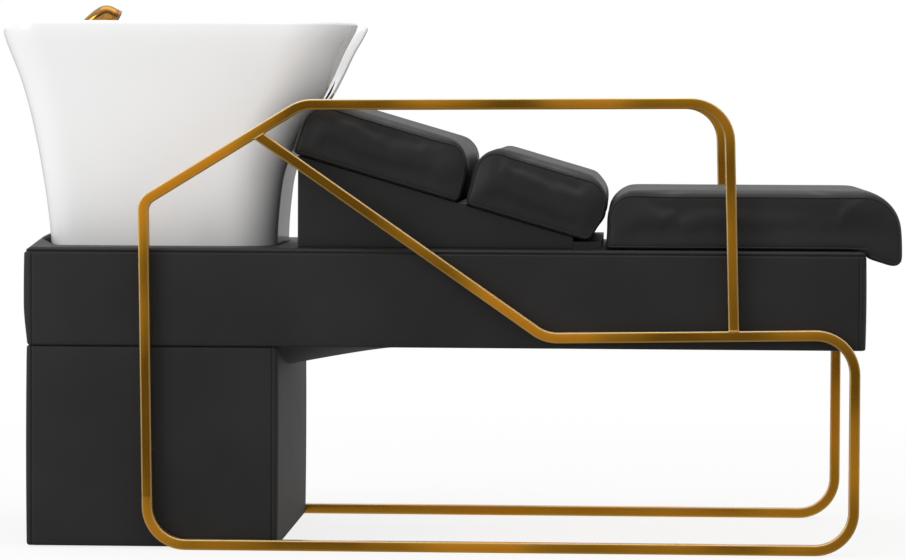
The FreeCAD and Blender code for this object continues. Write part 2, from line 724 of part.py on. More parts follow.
def cradle():
    half = cradle_half()
    plate_top = BASIN_FOOT - PAD_THICKNESS
    start = PIVOT.x - CRADLE_LENGTH / 2
    end = PIVOT.x + CRADLE_LENGTH / 2
    plate = block(start, end, -half - CRADLE_PLATE, half + CRADLE_PLATE,
                  plate_top - CRADLE_PLATE, plate_top)
    plate = plate.cut(square_to(Vector(DRAIN_X, 0, plate_top - 2 * CRADLE_PLATE), UP,
                                DRAIN_NUT_RADIUS + CHEEK_GAP, 4 * CRADLE_PLATE))
    cheek = block(PIVOT.x - CHEEK_WIDTH / 2, PIVOT.x + CHEEK_WIDTH / 2, half, half + CRADLE_PLATE,
                  plate_top, PIVOT.z)
    crown = rod(CHEEK_WIDTH / 2, Vector(PIVOT.x, half, PIVOT.z),
                Vector(PIVOT.x, half + CRADLE_PLATE, PIVOT.z))
    crown = crown.common(block(start, end, 0, 2 * half, PIVOT.z - CHEEK_WIDTH, DECK_UNDER - SMALL_RADIUS))
    pin = rod(PIN_RADIUS, Vector(PIVOT.x, half, PIVOT.z), Vector(PIVOT.x, BOX_INNER - BUSH_WALL, PIVOT.z))
    side = fused([cheek, crown, pin])
    return fused([plate, side, mirrored(side)])


def cradle_pads():
    half = basin_level(0, 0)[2] - BASIN_WALL / 2
    pads = []
    for x in (PIVOT.x - PAD_SPACING / 2, PIVOT.x + PAD_SPACING / 2):
        pads.append(square_to(Vector(x, half, BASIN_FOOT - PAD_THICKNESS), UP, PAD_RADIUS, PAD_THICKNESS))
    return both_sides(Part.makeCompound(pads))


def bearings():
    """Bearing blocks on the box's side boards, their bushes and their screws."""
    inner = cradle_half() + CRADLE_PLATE + BUSH_FLANGE + SEAT_GAP
    z0 = PIVOT.z - BEARING_HEIGHT
    z1 = DECK_UNDER
    bearing = block(PIVOT.x - BEARING_LENGTH / 2, PIVOT.x + BEARING_LENGTH / 2, inner, BOX_INNER, z0, z1)
    bore = rod(PIN_RADIUS + BUSH_WALL, Vector(PIVOT.x, inner - OVERRUN, PIVOT.z),
               Vector(PIVOT.x, BOX_INNER - BUSH_WALL, PIVOT.z))
    bearing = bearing.cut(bore)
    bush = rod(PIN_RADIUS + BUSH_WALL - THREAD_CLEARANCE, Vector(PIVOT.x, inner, PIVOT.z),
               Vector(PIVOT.x, BOX_INNER - BUSH_WALL - SEAT_GAP, PIVOT.z))
    collar = rod(PIN_RADIUS + 2 * BUSH_WALL, Vector(PIVOT.x, inner - BUSH_FLANGE, PIVOT.z),
                 Vector(PIVOT.x, inner, PIVOT.z))
    hole = rod(PIN_RADIUS + RUNNING_CLEARANCE, Vector(PIVOT.x, inner - 2 * BUSH_FLANGE, PIVOT.z),
               Vector(PIVOT.x, BOX_INNER, PIVOT.z))
    bush = bush.fuse(collar).cut(hole)
    screws = []
    for x in (PIVOT.x - BEARING_SCREW_SPACING / 2, PIVOT.x + BEARING_SCREW_SPACING / 2):
        seat = Vector(x, inner + SCREW_HEAD, z0 + SCREW_HEAD_RADIUS + SCREW_HEAD)
        reach = BOX_INNER - inner - SCREW_HEAD
        bearing = bearing.cut(rod(SCREW_RADIUS + THREAD_CLEARANCE, seat, seat.add(ACROSS * reach)))
        sunk = rod(SCREW_HEAD_RADIUS + SCREW_CLEARANCE, seat, seat.sub(ACROSS * SCREW_HEAD * 2))
        bearing = bearing.cut(sunk)
        screws.append(pan_screw(seat, ACROSS, SCREW_RADIUS, SCREW_HEAD_RADIUS, SCREW_HEAD,
                                reach + SCREW_BITE))
    return both_sides(bearing), both_sides(bush), both_sides(Part.makeCompound(screws))


def bearing_screw_holes(board):
    inner = cradle_half() + CRADLE_PLATE + BUSH_FLANGE + SEAT_GAP
    for x in (PIVOT.x - BEARING_SCREW_SPACING / 2, PIVOT.x + BEARING_SCREW_SPACING / 2):
        seat = Vector(x, inner, PIVOT.z - BEARING_HEIGHT + SCREW_HEAD_RADIUS + SCREW_HEAD)
        reach = BOX_INNER - inner + SCREW_BITE
        hole = rod(SCREW_RADIUS + THREAD_CLEARANCE, seat, seat.add(ACROSS * reach))
        board = board.cut(hole).cut(mirrored(hole))
    return board


def buffer_places():
    x = PIVOT.x + BUFFER_FROM_PIVOT
    y = BUFFER_SPACING / 2
    z = BASIN_FOOT - PAD_THICKNESS - CRADLE_PLATE
    return [Vector(x, -y, z), Vector(x, y, z)]


def tilt_buffers():
    """Rubber stops under the cradle, on a board across the box."""
    stops = []
    for top in buffer_places():
        stops.append(square_to(top.sub(UP * (BUFFER_HEIGHT + SEAT_GAP)), UP, BUFFER_RADIUS, BUFFER_HEIGHT))
    return Part.makeCompound(stops)


# Mixer

def mixer_base():
    return Vector(HEAD + MIXER_FROM_HEAD, MIXER_OFFSET, DECK_HEIGHT)


def mixer():
    base = mixer_base()
    foot = square_to(base, UP, MIXER_BASE_RADIUS, MIXER_BASE)
    body = square_to(base, UP, MIXER_RADIUS, MIXER_BASE + MIXER_BODY)
    post = square_to(base, UP, MIXER_POST_RADIUS, MIXER_BASE + MIXER_BODY + MIXER_CAP / 2)
    shank = square_to(base.sub(UP * MIXER_SHANK), UP, MIXER_SHANK_RADIUS, MIXER_SHANK)
    body = fused([foot, body, post, shank])
    body = body.cut(square_to(base.sub(UP * (MIXER_SHANK + OVERRUN)), UP, SPOUT_RADIUS, MIXER_SHANK))
    cap_base = base.add(UP * (MIXER_BASE + MIXER_BODY + SEAT_GAP))
    cap = square_to(cap_base, UP, MIXER_RADIUS, MIXER_CAP)
    cap = cap.cut(square_to(cap_base.sub(UP * OVERRUN), UP, MIXER_POST_RADIUS + RUNNING_CLEARANCE,
                            MIXER_CAP / 2 + OVERRUN))
    top = cap_base.z + MIXER_CAP
    slot = block(base.x - LEVER_THICKNESS, base.x + MIXER_RADIUS + OVERRUN,
                 base.y - LEVER_SLOT / 2, base.y + LEVER_SLOT / 2,
                 top - LEVER_THICKNESS - 2 * LEVER_REST_GAP, top + OVERRUN)
    cap = cap.cut(slot)
    axle = lever_axle()
    pin = rod(LEVER_PIN_RADIUS, Vector(axle.x, base.y - LEVER_PIN_LENGTH / 2, axle.z),
              Vector(axle.x, base.y + LEVER_PIN_LENGTH / 2, axle.z))
    cap = cap.fuse(pin)
    lever = block(axle.x - LEVER_THICKNESS / 2, axle.x + LEVER_LENGTH,
                  base.y - LEVER_WIDTH / 2, base.y + LEVER_WIDTH / 2,
                  axle.z - LEVER_THICKNESS / 2, axle.z + LEVER_THICKNESS / 2)
    eye = rod(LEVER_THICKNESS / 2 + LEVER_REST_GAP, Vector(axle.x, base.y - LEVER_WIDTH / 2, axle.z),
              Vector(axle.x, base.y + LEVER_WIDTH / 2, axle.z))
    tip = square_to(Vector(axle.x + LEVER_LENGTH, base.y, axle.z - LEVER_THICKNESS / 2), UP,
                    LEVER_WIDTH / 2, LEVER_THICKNESS)
    lever = fused([lever, eye, tip])
    lever = lever.cut(rod(LEVER_PIN_RADIUS + RUNNING_CLEARANCE, Vector(axle.x, base.y - LEVER_WIDTH, axle.z),
                          Vector(axle.x, base.y + LEVER_WIDTH, axle.z)))
    nut_base = base.sub(UP * (BASIN_WALL + NUT_HEIGHT + SEAL_THICKNESS))
    nut = hexagon(MIXER_NUT_RADIUS, NUT_HEIGHT, nut_base, MIXER_SHANK_RADIUS + THREAD_CLEARANCE)
    washer = square_to(nut_base.add(UP * NUT_HEIGHT), UP, MIXER_NUT_RADIUS, SEAL_THICKNESS)
    washer = washer.cut(square_to(nut_base, UP, MIXER_SHANK_RADIUS + THREAD_CLEARANCE, MIXER_SHANK))
    return body, cap, lever, nut, washer


def lever_axle():
    base = mixer_base()
    top = base.z + MIXER_BASE + MIXER_BODY + SEAT_GAP + MIXER_CAP
    return Vector(base.x, base.y, top - LEVER_THICKNESS / 2)


# Hand spray

def spray_way():
    """Direction of the handle, up and towards the bowl."""
    lean = math.radians(SPRAY_LEAN)
    return Vector(math.cos(lean), 0, math.sin(lean))


def spray_bend_start():
    return Vector(HEAD + SPRAY_FROM_HEAD, 0, SPRAY_BEND_HEIGHT)


def spray_heel():
    return spray_bend_start().sub(spray_way() * SPRAY_HANDLE)


def holder_foot():
    """Point of the handle's axis at the deck."""
    heel = spray_heel()
    way = spray_way()
    return heel.sub(way * ((heel.z - DECK_HEIGHT) / way.z))


def spray_head_start():
    lean = math.radians(SPRAY_LEAN)
    end = math.radians(SPRAY_LEAN - SPRAY_TURN)
    start = spray_bend_start()
    point = start.add(Vector(SPRAY_BEND * (math.sin(lean) - math.sin(end)), 0,
                             SPRAY_BEND * (math.cos(end) - math.cos(lean))))
    return point, Vector(math.cos(end), 0, math.sin(end))


def hand_spray():
    way = spray_way()
    heel = spray_heel()
    start = spray_bend_start()
    handle = Part.makeCone(SPRAY_FOOT_RADIUS, SPRAY_NECK_RADIUS, SPRAY_HANDLE, heel, way)
    end, out = spray_head_start()
    lean = math.radians(SPRAY_LEAN)
    middle_turn = math.radians(SPRAY_LEAN - SPRAY_TURN / 2)
    middle = start.add(Vector(SPRAY_BEND * (math.sin(lean) - math.sin(middle_turn)), 0,
                              SPRAY_BEND * (math.cos(middle_turn) - math.cos(lean))))
    path = Part.Wire([Part.Arc(start, middle, end).toShape()])
    ring = Part.Wire([Part.makeCircle(SPRAY_NECK_RADIUS, start, way)])
    bend = path.makePipeShell([ring], True, False)
    head = square_to(end, out, SPRAY_NECK_RADIUS, SPRAY_HEAD)
    ribs = []
    for i in range(2):
        ribs.append(square_to(end.add(out * (SPRAY_RIB_PITCH * (i + 1))), out,
                              SPRAY_NECK_RADIUS + SPRAY_RIB, SPRAY_RIB_PITCH / 2))
    spray = fused([handle, bend, head] + ribs)
    mouth = end.add(out * (SPRAY_HEAD - SPRAY_FACE_DEPTH))
    spray = spray.cut(square_to(mouth, out, SPRAY_FACE_RADIUS + THREAD_CLEARANCE, 2 * SPRAY_FACE_DEPTH))
    face = square_to(mouth, out, SPRAY_FACE_RADIUS, SPRAY_FACE_DEPTH)
    return spray, face


def spray_holder():
    way = spray_way()
    heel = spray_heel()
    foot = holder_foot()
    base = square_to(foot, UP, HOLDER_BASE_RADIUS, HOLDER_BASE)
    cup = square_to(foot.sub(way * HOLDER_BASE), way, HOLDER_RADIUS,
                    heel.sub(foot).Length + HOLDER_CUP + HOLDER_BASE)
    cup = cup.common(block(HEAD, FOOT, -HOLDER_BASE_RADIUS, HOLDER_BASE_RADIUS, DECK_HEIGHT, 2 * RIM_HEIGHT))
    bore = Part.makeCone(SPRAY_FOOT_RADIUS + SEAT_GAP, SPRAY_NECK_RADIUS + SEAT_GAP, SPRAY_HANDLE, heel, way)
    shank = square_to(foot.sub(UP * HOLDER_SHANK), UP, HOLDER_SHANK_RADIUS, HOLDER_SHANK)
    holder = fused([base, cup, shank]).cut(bore)
    nut_base = foot.sub(UP * (BASIN_WALL + NUT_HEIGHT))
    nut = hexagon(HOLDER_NUT_RADIUS, NUT_HEIGHT, nut_base, HOLDER_SHANK_RADIUS + THREAD_CLEARANCE)
    return holder, nut


# Box

def well(z0, z1):
    """Opening for the basin, with room to tilt."""
    back, front, half, back_radius, front_radius = basin_level(share_at(BOX_TOP), 0)
    wire = rounded_rectangle(BOX_BACK + PADDING / 2 + BACK_BOARD, well_front(), half + WELL_CLEARANCE,
                             back_radius, front_radius, z0)
    return Part.Face(wire).extrude(Vector(0, 0, z1 - z0))


def well_front():
    return basin_level(share_at(BOX_TOP), 0)[1] + WELL_CLEARANCE


def box_pieces():
    pieces = {}
    x0 = BOX_BACK + PADDING / 2
    x1 = BOX_FRONT - PADDING
    side = block(x0 + BACK_BOARD, x1 - BOARD, -BOX_HALF + PADDING, -BOX_INNER, BOX_BOTTOM, DECK_TOP)
    side = bearing_screw_holes(bolt_holes(side, BOX_HALF))
    pieces["box_side_board_right"] = side
    pieces["box_side_board_left"] = mirrored(side)
    pieces["box_foot_board"] = block(x1 - BOARD, x1, -BOX_HALF + PADDING, BOX_HALF - PADDING,
                                     BOX_BOTTOM, DECK_TOP)
    pieces["box_back_board"] = block(x0, x0 + BACK_BOARD, -BOX_HALF + PADDING + BOX_CORNER,
                                     BOX_HALF - PADDING - BOX_CORNER, BOX_BOTTOM, DECK_TOP)
    front = well_front()
    cross_top = DECK_UNDER
    bottom_top = BOX_BOTTOM + THIN_BOARD
    head_board = block(front, front + BOARD, -BOX_INNER, BOX_INNER, bottom_top, cross_top)
    middle = SEAT_BACK - BOARD
    mid_board = block(middle, middle + BOARD, -BOX_INNER, BOX_INNER, bottom_top, cross_top)
    pieces["box_cross_boards"] = Part.makeCompound([head_board, mid_board])
    stop = buffer_places()[0]
    rail_top = stop.z - BUFFER_HEIGHT - SEAT_GAP
    rail_half = BUFFER_RADIUS + OVERRUN
    pieces["buffer_rail"] = block(stop.x - rail_half, stop.x + rail_half, -BOX_INNER, BOX_INNER,
                                  bottom_top, rail_top)
    bottom = block(x0 + BACK_BOARD, x1 - BOARD, -BOX_INNER, BOX_INNER, BOX_BOTTOM, bottom_top)
    pieces["box_bottom_board"] = bottom.cut(square_to(Vector(DRAIN_X, 0, BOX_BOTTOM - OVERRUN), UP,
                                                      DRAIN_NUT_RADIUS + CHEEK_GAP, THIN_BOARD + 2 * OVERRUN))
    deck = block(x0 + BACK_BOARD, x1 - BOARD, -BOX_INNER, BOX_INNER, DECK_UNDER, DECK_TOP)
    opening = well(DECK_UNDER - OVERRUN, BOX_TOP + BACK_ARCH + OVERRUN)
    deck = deck.cut(opening)
    skin = rounded_block(BOX_BACK, BOX_FRONT, BOX_HALF, BOX_CORNER, BOX_BOTTOM, BOX_TOP)
    top_edges = [edge for edge in skin.Edges if all(abs(v.Z - BOX_TOP) < SEAT_GAP for v in edge.Vertexes)]
    skin = skin.makeFillet(BOX_EDGE, top_edges)
    inside = block(x0, x1, -BOX_HALF + PADDING, BOX_HALF - PADDING, BOX_BOTTOM, DECK_TOP)
    skin = skin.cut(inside).cut(opening)
    skin = bolt_holes(skin, BOX_HALF)
    roll = back_roll()
    pieces["box_cover"] = skin.cut(roll)
    pieces["back_roll"] = roll
    for x, y in seat_screw_places():
        hole = square_to(Vector(x, y, DECK_UNDER), UP, SCREW_RADIUS + SCREW_CLEARANCE, BOARD + PADDING)
        deck = deck.cut(hole)
        pieces["box_cover"] = pieces["box_cover"].cut(hole)
    pieces["box_deck"] = deck
    return pieces


def back_roll():
    """Arched padded edge along the back of the box, higher mid way across."""
    half = BOX_HALF - BOX_CORNER - BOX_EDGE
    inner = BOX_BACK + PADDING / 2 + BACK_BOARD
    base = DECK_TOP
    top = BOX_TOP
    arch = Part.Arc(Vector(BOX_BACK, -half, top), Vector(BOX_BACK, 0, top + BACK_ARCH),
                    Vector(BOX_BACK, half, top)).toShape()
    wire = Part.Wire([
        Part.makeLine(Vector(BOX_BACK, half, base), Vector(BOX_BACK, -half, base)),
        Part.makeLine(Vector(BOX_BACK, -half, base), Vector(BOX_BACK, -half, top)),
        arch,
        Part.makeLine(Vector(BOX_BACK, half, top), Vector(BOX_BACK, half, base)),
    ])
    roll = Part.Face(wire).extrude(Vector(inner - BOX_BACK, 0, 0))
    crest = [edge for edge in roll.Edges if edge.BoundBox.ZMax > top + BACK_ARCH / 2
             and edge.BoundBox.XLength < SEAT_GAP]
    return roll.makeFillet(BACK_EDGE, crest)


def belly_fairing():
    """Boat-shaped fairing whose keel rises from the plinth to the underside of the box."""
    half = PLINTH_HALF - BELLY_INSET
    wires = []
    for share in (0.0, 0.25, 0.5, 0.75, 1.0):
        x = PLINTH_FRONT + BELLY_LENGTH * share
        depth = BELLY_END_DEPTH + (BELLY_DEPTH - BELLY_END_DEPTH) * (1 - share) ** KEEL_POWER
        ends = Vector(x, -half, BOX_BOTTOM), Vector(x, half, BOX_BOTTOM)
        keel = Part.Arc(ends[0], Vector(x, 0, BOX_BOTTOM - depth), ends[1]).toShape()
        wires.append(Part.Wire([keel, Part.makeLine(ends[1], ends[0])]))
    return Part.makeLoft(wires, True, False)


# Plinth

def plinth_pieces():
    pieces = {}
    x0 = PLINTH_BACK + PADDING
    x1 = PLINTH_FRONT - PADDING
    outer = PLINTH_HALF - PADDING
    inner = outer - BOARD
    base = GLIDE_HEIGHT
    side = bolt_holes(block(x0, x1 - BOARD, -outer, -inner, base, PLINTH_TOP), PLINTH_HALF)
    pieces["plinth_side_board_right"] = side
    pieces["plinth_side_board_left"] = mirrored(side)
    pieces["plinth_front_board"] = block(x1 - BOARD, x1, -outer, outer, base, PLINTH_TOP)
    pieces["plinth_floor_board"] = block(x0, x1 - BOARD, -inner, inner, base, base + BOARD)
    top = block(x0, x1, -outer, outer, PLINTH_TOP, BOX_BOTTOM)
    pieces["plinth_top_board"] = top.cut(square_to(Vector(DRAIN_X, 0, PLINTH_TOP - OVERRUN), UP,
                                                   DRAIN_NUT_RADIUS + CHEEK_GAP,
                                                   BOX_BOTTOM - PLINTH_TOP + 2 * OVERRUN))
    cover = rounded_block(PLINTH_BACK, PLINTH_FRONT, PLINTH_HALF, PLINTH_CORNER, base, BOX_BOTTOM)
    cover = cover.cut(block(x0, x1, -outer, outer, base, BOX_BOTTOM))
    window = block(PLINTH_BACK - OVERRUN, x0, -inner + PANEL_MARGIN, inner - PANEL_MARGIN,
                   base + PANEL_MARGIN, PLINTH_TOP - PANEL_MARGIN)
    cover = bolt_holes(cover.cut(window), PLINTH_HALF)
    pieces["plinth_cover"] = cover
    frame_wall = block(x0, x0 + THIN_BOARD, -inner, inner, base + BOARD, PLINTH_TOP)
    opening = block(x0 - OVERRUN, x0 + BOARD, -inner + PANEL_MARGIN + BOARD, inner - PANEL_MARGIN - BOARD,
                    base + PANEL_MARGIN + BOARD, PLINTH_TOP - PANEL_MARGIN - BOARD)
    back = frame_wall.cut(opening)
    panel = block(x0 - PANEL_THICKNESS, x0, -inner + PANEL_MARGIN + PANEL_CLEARANCE,
                  inner - PANEL_MARGIN - PANEL_CLEARANCE, base + PANEL_MARGIN + PANEL_CLEARANCE,
                  PLINTH_TOP - PANEL_MARGIN - PANEL_CLEARANCE)
    screws = []
    inset = PANEL_MARGIN + PANEL_CLEARANCE + BOARD / 2
    for y in (-inner + inset, inner - inset):
        for z in (base + inset, PLINTH_TOP - inset):
            seat = Vector(x0 - PANEL_THICKNESS, y, z)
            way = Vector(1, 0, 0)
            hole = square_to(seat, way, SCREW_RADIUS + THREAD_CLEARANCE, PANEL_THICKNESS + THIN_BOARD)
            panel = panel.cut(hole)
            back = back.cut(hole)
            screws.append(pan_screw(seat, way, SCREW_RADIUS, SCREW_HEAD_RADIUS, SCREW_HEAD / 2,
                                    PANEL_THICKNESS + THIN_BOARD - OVERRUN))
    pieces["plinth_back_frame"] = back
    pieces["service_panel"] = panel
    pieces["service_panel_screws"] = Part.makeCompound(screws)
    glides = []
    floor_board = pieces["plinth_floor_board"]
    for x in (x0 + GLIDE_INSET, x1 - GLIDE_INSET - BOARD):
        for y in (-inner + GLIDE_INSET, inner - GLIDE_INSET):
            floor_point = Vector(x, y, 0)
            foot = square_to(floor_point, UP, GLIDE_RADIUS, GLIDE_FOOT)
            neck = square_to(floor_point, UP, GLIDE_NECK_RADIUS, base)
            stem = square_to(floor_point, UP, GLIDE_STEM_RADIUS, base + GLIDE_STEM)
            glides.append(fused([foot, neck, stem]))
            floor_board = floor_board.cut(square_to(floor_point, UP, GLIDE_STEM_RADIUS + THREAD_CLEARANCE,
                                                    base + GLIDE_STEM + THREAD_CLEARANCE))
    pieces["plinth_floor_board"] = floor_board
    pieces["levelling_glides"] = Part.makeCompound(glides)
    return pieces


# Wedge and cushions

SHOULDER_ORIGIN = Vector(HEAD + SHOULDER_FROM_HEAD, 0, SHOULDER_START_HEIGHT)
SLOPE = math.atan2(SHOULDER_START_HEIGHT - WEDGE_TIP_HEIGHT, WEDGE_FRONT - SHOULDER_ORIGIN.x)
ALONG = Vector(math.cos(SLOPE), 0, -math.sin(SLOPE))
OUTWARD = Vector(math.sin(SLOPE), 0, math.cos(SLOPE))
BACK_START = SHOULDER_LENGTH + BACK_FROM_SHOULDER
BACK_LENGTH = (SEAT_BACK - BACK_FROM_SEAT - SHOULDER_ORIGIN.x) / math.cos(SLOPE) - BACK_START


def incline_height(x):
    """Height of the plane on which the back cushions lie."""
    return SHOULDER_ORIGIN.z - (x - SHOULDER_ORIGIN.x) * math.tan(SLOPE)


def wedge_pieces():
    back = WEDGE_BACK
    front = WEDGE_FRONT
    base_top = BOX_TOP + WEDGE_TOE_HEIGHT
    half = WEDGE_HALF

    def outline(inset):
        x0 = back + inset
        x1 = front - inset
        roof = (inset + SEAT_GAP) / math.cos(SLOPE)
        return [(x0, base_top), (x1, base_top), (x1, incline_height(x1) - roof),
                (x0, incline_height(x0) - roof)]

    skin_body = upright_profile(outline(0), half)
    board_body = upright_profile(outline(WEDGE_SKIN), half - WEDGE_SKIN)
    core = upright_profile(inner_outline(back, front, base_top), half - WEDGE_SKIN - WEDGE_BOARD)
    base = block(back, front + WEDGE_TOE, -half, half, BOX_TOP, base_top)
    carcass = board_body.cut(core)
    return skin_body.cut(board_body), carcass, base


def inner_outline(back, front, base_top):
    """Room inside the wedge: below its roof board, behind its toe."""
    x0 = back + WEDGE_SKIN + WEDGE_BOARD
    roof = (WEDGE_SKIN + WEDGE_BOARD + SEAT_GAP) / math.cos(SLOPE)
    x1 = SHOULDER_ORIGIN.x + (SHOULDER_ORIGIN.z - roof - base_top - WEDGE_BOARD / 2) / math.tan(SLOPE)
    return [(x0, base_top), (x1, base_top), (x1, incline_height(x1) - roof),
            (x0, incline_height(x0) - roof)]


# Outlines of the two sloping cushions: share of length, share of thickness, radius as a share
# of thickness, from the lower head corner
SHOULDER_SHARES = (
    (0.012, 0.00, 0.05),
    (0.000, 1.00, 0.46),
    (0.965, 1.00, 0.36),
    (1.000, 0.42, 0.60),
    (0.985, 0.00, 0.12),
)
BACK_SHARES = (
    (0.050, 0.00, 0.12),
    (0.000, 0.45, 0.60),
    (0.010, 1.00, 0.36),
    (0.985, 1.00, 0.40),
    (1.000, 0.40, 0.60),
    (0.945, 0.00, 0.12),
)
EDGE_TURNS = (90.0, 60.0, 30.0, 0.0)


def drawn_in(corners, inset, bottom_inset, crown):
    """Moves each side of an outline inwards. The side on the base moves by bottom_inset, and the
    side opposite moves out again by crown."""
    count = len(corners)
    lowest = min(v for u, v, r in corners)
    highest = max(v for u, v, r in corners)
    sides = []
    for i in range(count):
        u0, v0, r0 = corners[i]
        u1, v1, r1 = corners[(i + 1) % count]
        du, dv = unit(u1 - u0, v1 - v0)
        shift = inset
        if v0 == lowest and v1 == lowest:
            shift = bottom_inset
        if v0 == highest and v1 == highest:
            shift = inset - crown
        sides.append((u0 + dv * shift, v0 - du * shift, du, dv))
    moved = []
    for i in range(count):
        ax, ay, adx, ady = sides[i - 1]
        bx, by, bdx, bdy = sides[i]
        cross = adx * bdy - ady * bdx
        step = ((bx - ax) * bdy - (by - ay) * bdx) / cross
        radius = max(corners[i][2] - inset, SMALL_RADIUS / 2)
        moved.append((ax + adx * step, ay + ady * step, radius))
    return moved


def cushion(corners, lift, half, edge, crown):
    """Loft across the bed: a flat side panel, a quarter-round edge, and a crown mid way.
    lift takes (u, v, y)."""
    levels = []
    for turn in EDGE_TURNS:
        angle = math.radians(turn)
        levels.append((half - edge + edge * math.sin(angle), edge * (1 - math.cos(angle))))
    levels.append((half / 2, 0))
    stations = [(-y, inset) for y, inset in levels] + [(0, 0)] + [(y, inset) for y, inset in reversed(levels)]
    wires = []
    for y, inset in stations:
        rise = crown * (1 - (y / half) ** 2)
        shape = drawn_in(corners, inset, min(inset, SIDE_DRAW), rise)
        wires.append(rounded_wire(shape, lambda u, v: lift(u, v, y)))
    return Part.makeLoft(wires, True, True)


def sloping_cushion(shares, start, length, thickness, crown):
    """A cushion on the incline. start is its lower head corner's distance along the incline."""
    corners = [(u * length, v * thickness, r * thickness) for u, v, r in shares]

    def lift(u, v, y):
        place = SHOULDER_ORIGIN.add(ALONG * (start + u)).add(OUTWARD * v)
        return Vector(place.x, y, place.z)

    pad = cushion(corners, lift, CUSHION_HALF, CUSHION_EDGE, crown)
    board = sloping_board(start, length, 0)
    return pad.cut(sloping_board(start, length, SEAT_GAP)), board


def sloping_board(start, length, grow):
    u0 = start + BASE_MARGIN - grow
    u1 = start + length - BASE_MARGIN + grow
    half = CUSHION_HALF - BASE_MARGIN + grow
    low = -OVERRUN if grow else 0
    points = []
    for u, v in ((u0, low), (u1, low), (u1, BASE_BOARD + grow), (u0, BASE_BOARD + grow)):
        place = SHOULDER_ORIGIN.add(ALONG * u).add(OUTWARD * v)
        points.append((place.x, place.z))
    return upright_profile(points, half)


def seat_cushion():
    x0 = SEAT_BACK
    base = BOX_TOP + SEAT_GAP
    top = base + SEAT_THICKNESS
    inner = BOX_FRONT + LIP_GAP
    corners = [
        (x0, base, SMALL_RADIUS),
        (x0, top, SEAT_HEAD_RADIUS),
        (FOOT, top, SEAT_FOOT_RADIUS),
        (FOOT, base - LIP_DROP, LIP_RADIUS),
        (inner, base - LIP_DROP + LIP_RISE, SMALL_RADIUS),
        (inner, base, SMALL_RADIUS / 2),
    ]
    pad = cushion(corners, lambda u, v, y: Vector(u, y, v), SEAT_HALF, SEAT_EDGE, SEAT_CROWN)
    half = SEAT_HALF - BASE_MARGIN
    board = block(x0 + BASE_MARGIN, BOX_FRONT - BASE_MARGIN, -half, half, base, base + BASE_BOARD)
    room = block(x0 + BASE_MARGIN - SEAT_GAP, BOX_FRONT - BASE_MARGIN + SEAT_GAP, -half - SEAT_GAP,
                 half + SEAT_GAP, base - OVERRUN, base + BASE_BOARD + SEAT_GAP)
    return pad.cut(room), board


def seat_screw_places():
    x0 = SEAT_BACK + 2 * BASE_MARGIN
    x1 = BOX_FRONT - 3 * BASE_MARGIN
    y1 = SEAT_HALF - 3 * BASE_MARGIN
    return [(x0, -y1), (x0, y1), (x1, -y1), (x1, y1)]


def seat_screws(board):
    screws = []
    for x, y in seat_screw_places():
        seat = Vector(x, y, DECK_UNDER)
        length = BOARD + PADDING + SEAT_GAP + BASE_BOARD - OVERRUN
        screws.append(pan_screw(seat, UP, SCREW_RADIUS, SCREW_HEAD_RADIUS, SCREW_HEAD, length))
        board = board.cut(square_to(seat, UP, SCREW_RADIUS + THREAD_CLEARANCE, length + OVERRUN / 2))
    return Part.makeCompound(screws), board


def save(name, shape):
    shape.exportStep("parts/%s.step" % name)
    print(name, len(shape.Solids), round(shape.Volume), shape.isValid())


def main():
    os.makedirs("parts", exist_ok=True)
    arm, loop = side_frame()
    arm = frame_holes(arm)
    loop = frame_holes(loop)
    save("arm_tube_right", arm)
    save("arm_tube_left", mirrored(arm))
    save("loop_tube_right", loop)
    save("loop_tube_left", mirrored(loop))
    spacers, bolts, rivets = frame_fasteners()
    save("frame_spacers", spacers)
    save("frame_bolts", bolts)
    save("frame_rivet_nuts", rivets)
    for name, shape in box_pieces().items():
        save(name, shape)
    save("belly_fairing", belly_fairing())
    for name, shape in plinth_pieces().items():
        save(name, shape)
    skin, carcass, base = wedge_pieces()
    save("wedge_cover", skin)
    save("wedge_carcass", carcass)
    save("wedge_base_board", base)
    pad, board = sloping_cushion(SHOULDER_SHARES, 0, SHOULDER_LENGTH, SHOULDER_THICKNESS, SHOULDER_CROWN)
    save("shoulder_cushion", pad)
    save("shoulder_base_board", board)
    pad, board = sloping_cushion(BACK_SHARES, BACK_START, BACK_LENGTH,
                                 BACK_THICKNESS, BACK_CROWN)
    save("back_cushion", pad)
    save("back_base_board", board)
    pad, board = seat_cushion()
    screws, board = seat_screws(board)
    save("seat_cushion", pad)
    save("seat_base_board", board)
    save("cushion_screws", screws)
    save("basin", basin())
    flange, seal, nut, tail = drain()
    save("drain_flange", flange)
    save("drain_seal", seal)
    save("drain_nut", nut)
    save("tail_pipe", tail)
    save("drain_strainer", strainer())
    save("basin_cradle", cradle())
    save("cradle_pads", cradle_pads())
    blocks, bushes, screws = bearings()
    save("bearing_blocks", blocks)
    save("bearing_bushes", bushes)
    save("bearing_screws", screws)
    save("tilt_buffers", tilt_buffers())
    body, cap, lever, nut, washer = mixer()
    save("mixer_body", body)
    save("mixer_cap", cap)
    save("mixer_lever", lever)
    save("mixer_nut", nut)
    save("mixer_washer", washer)
    spray, face = hand_spray()
    save("hand_spray", spray)
    save("spray_face", face)
    holder, nut = spray_holder()
    save("spray_holder", holder)
    save("holder_nut", nut)


main()
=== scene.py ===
import math

import bmesh
import bpy
import numpy as np
from mathutils import Euler, Matrix, Vector
from mathutils.bvhtree import BVHTree


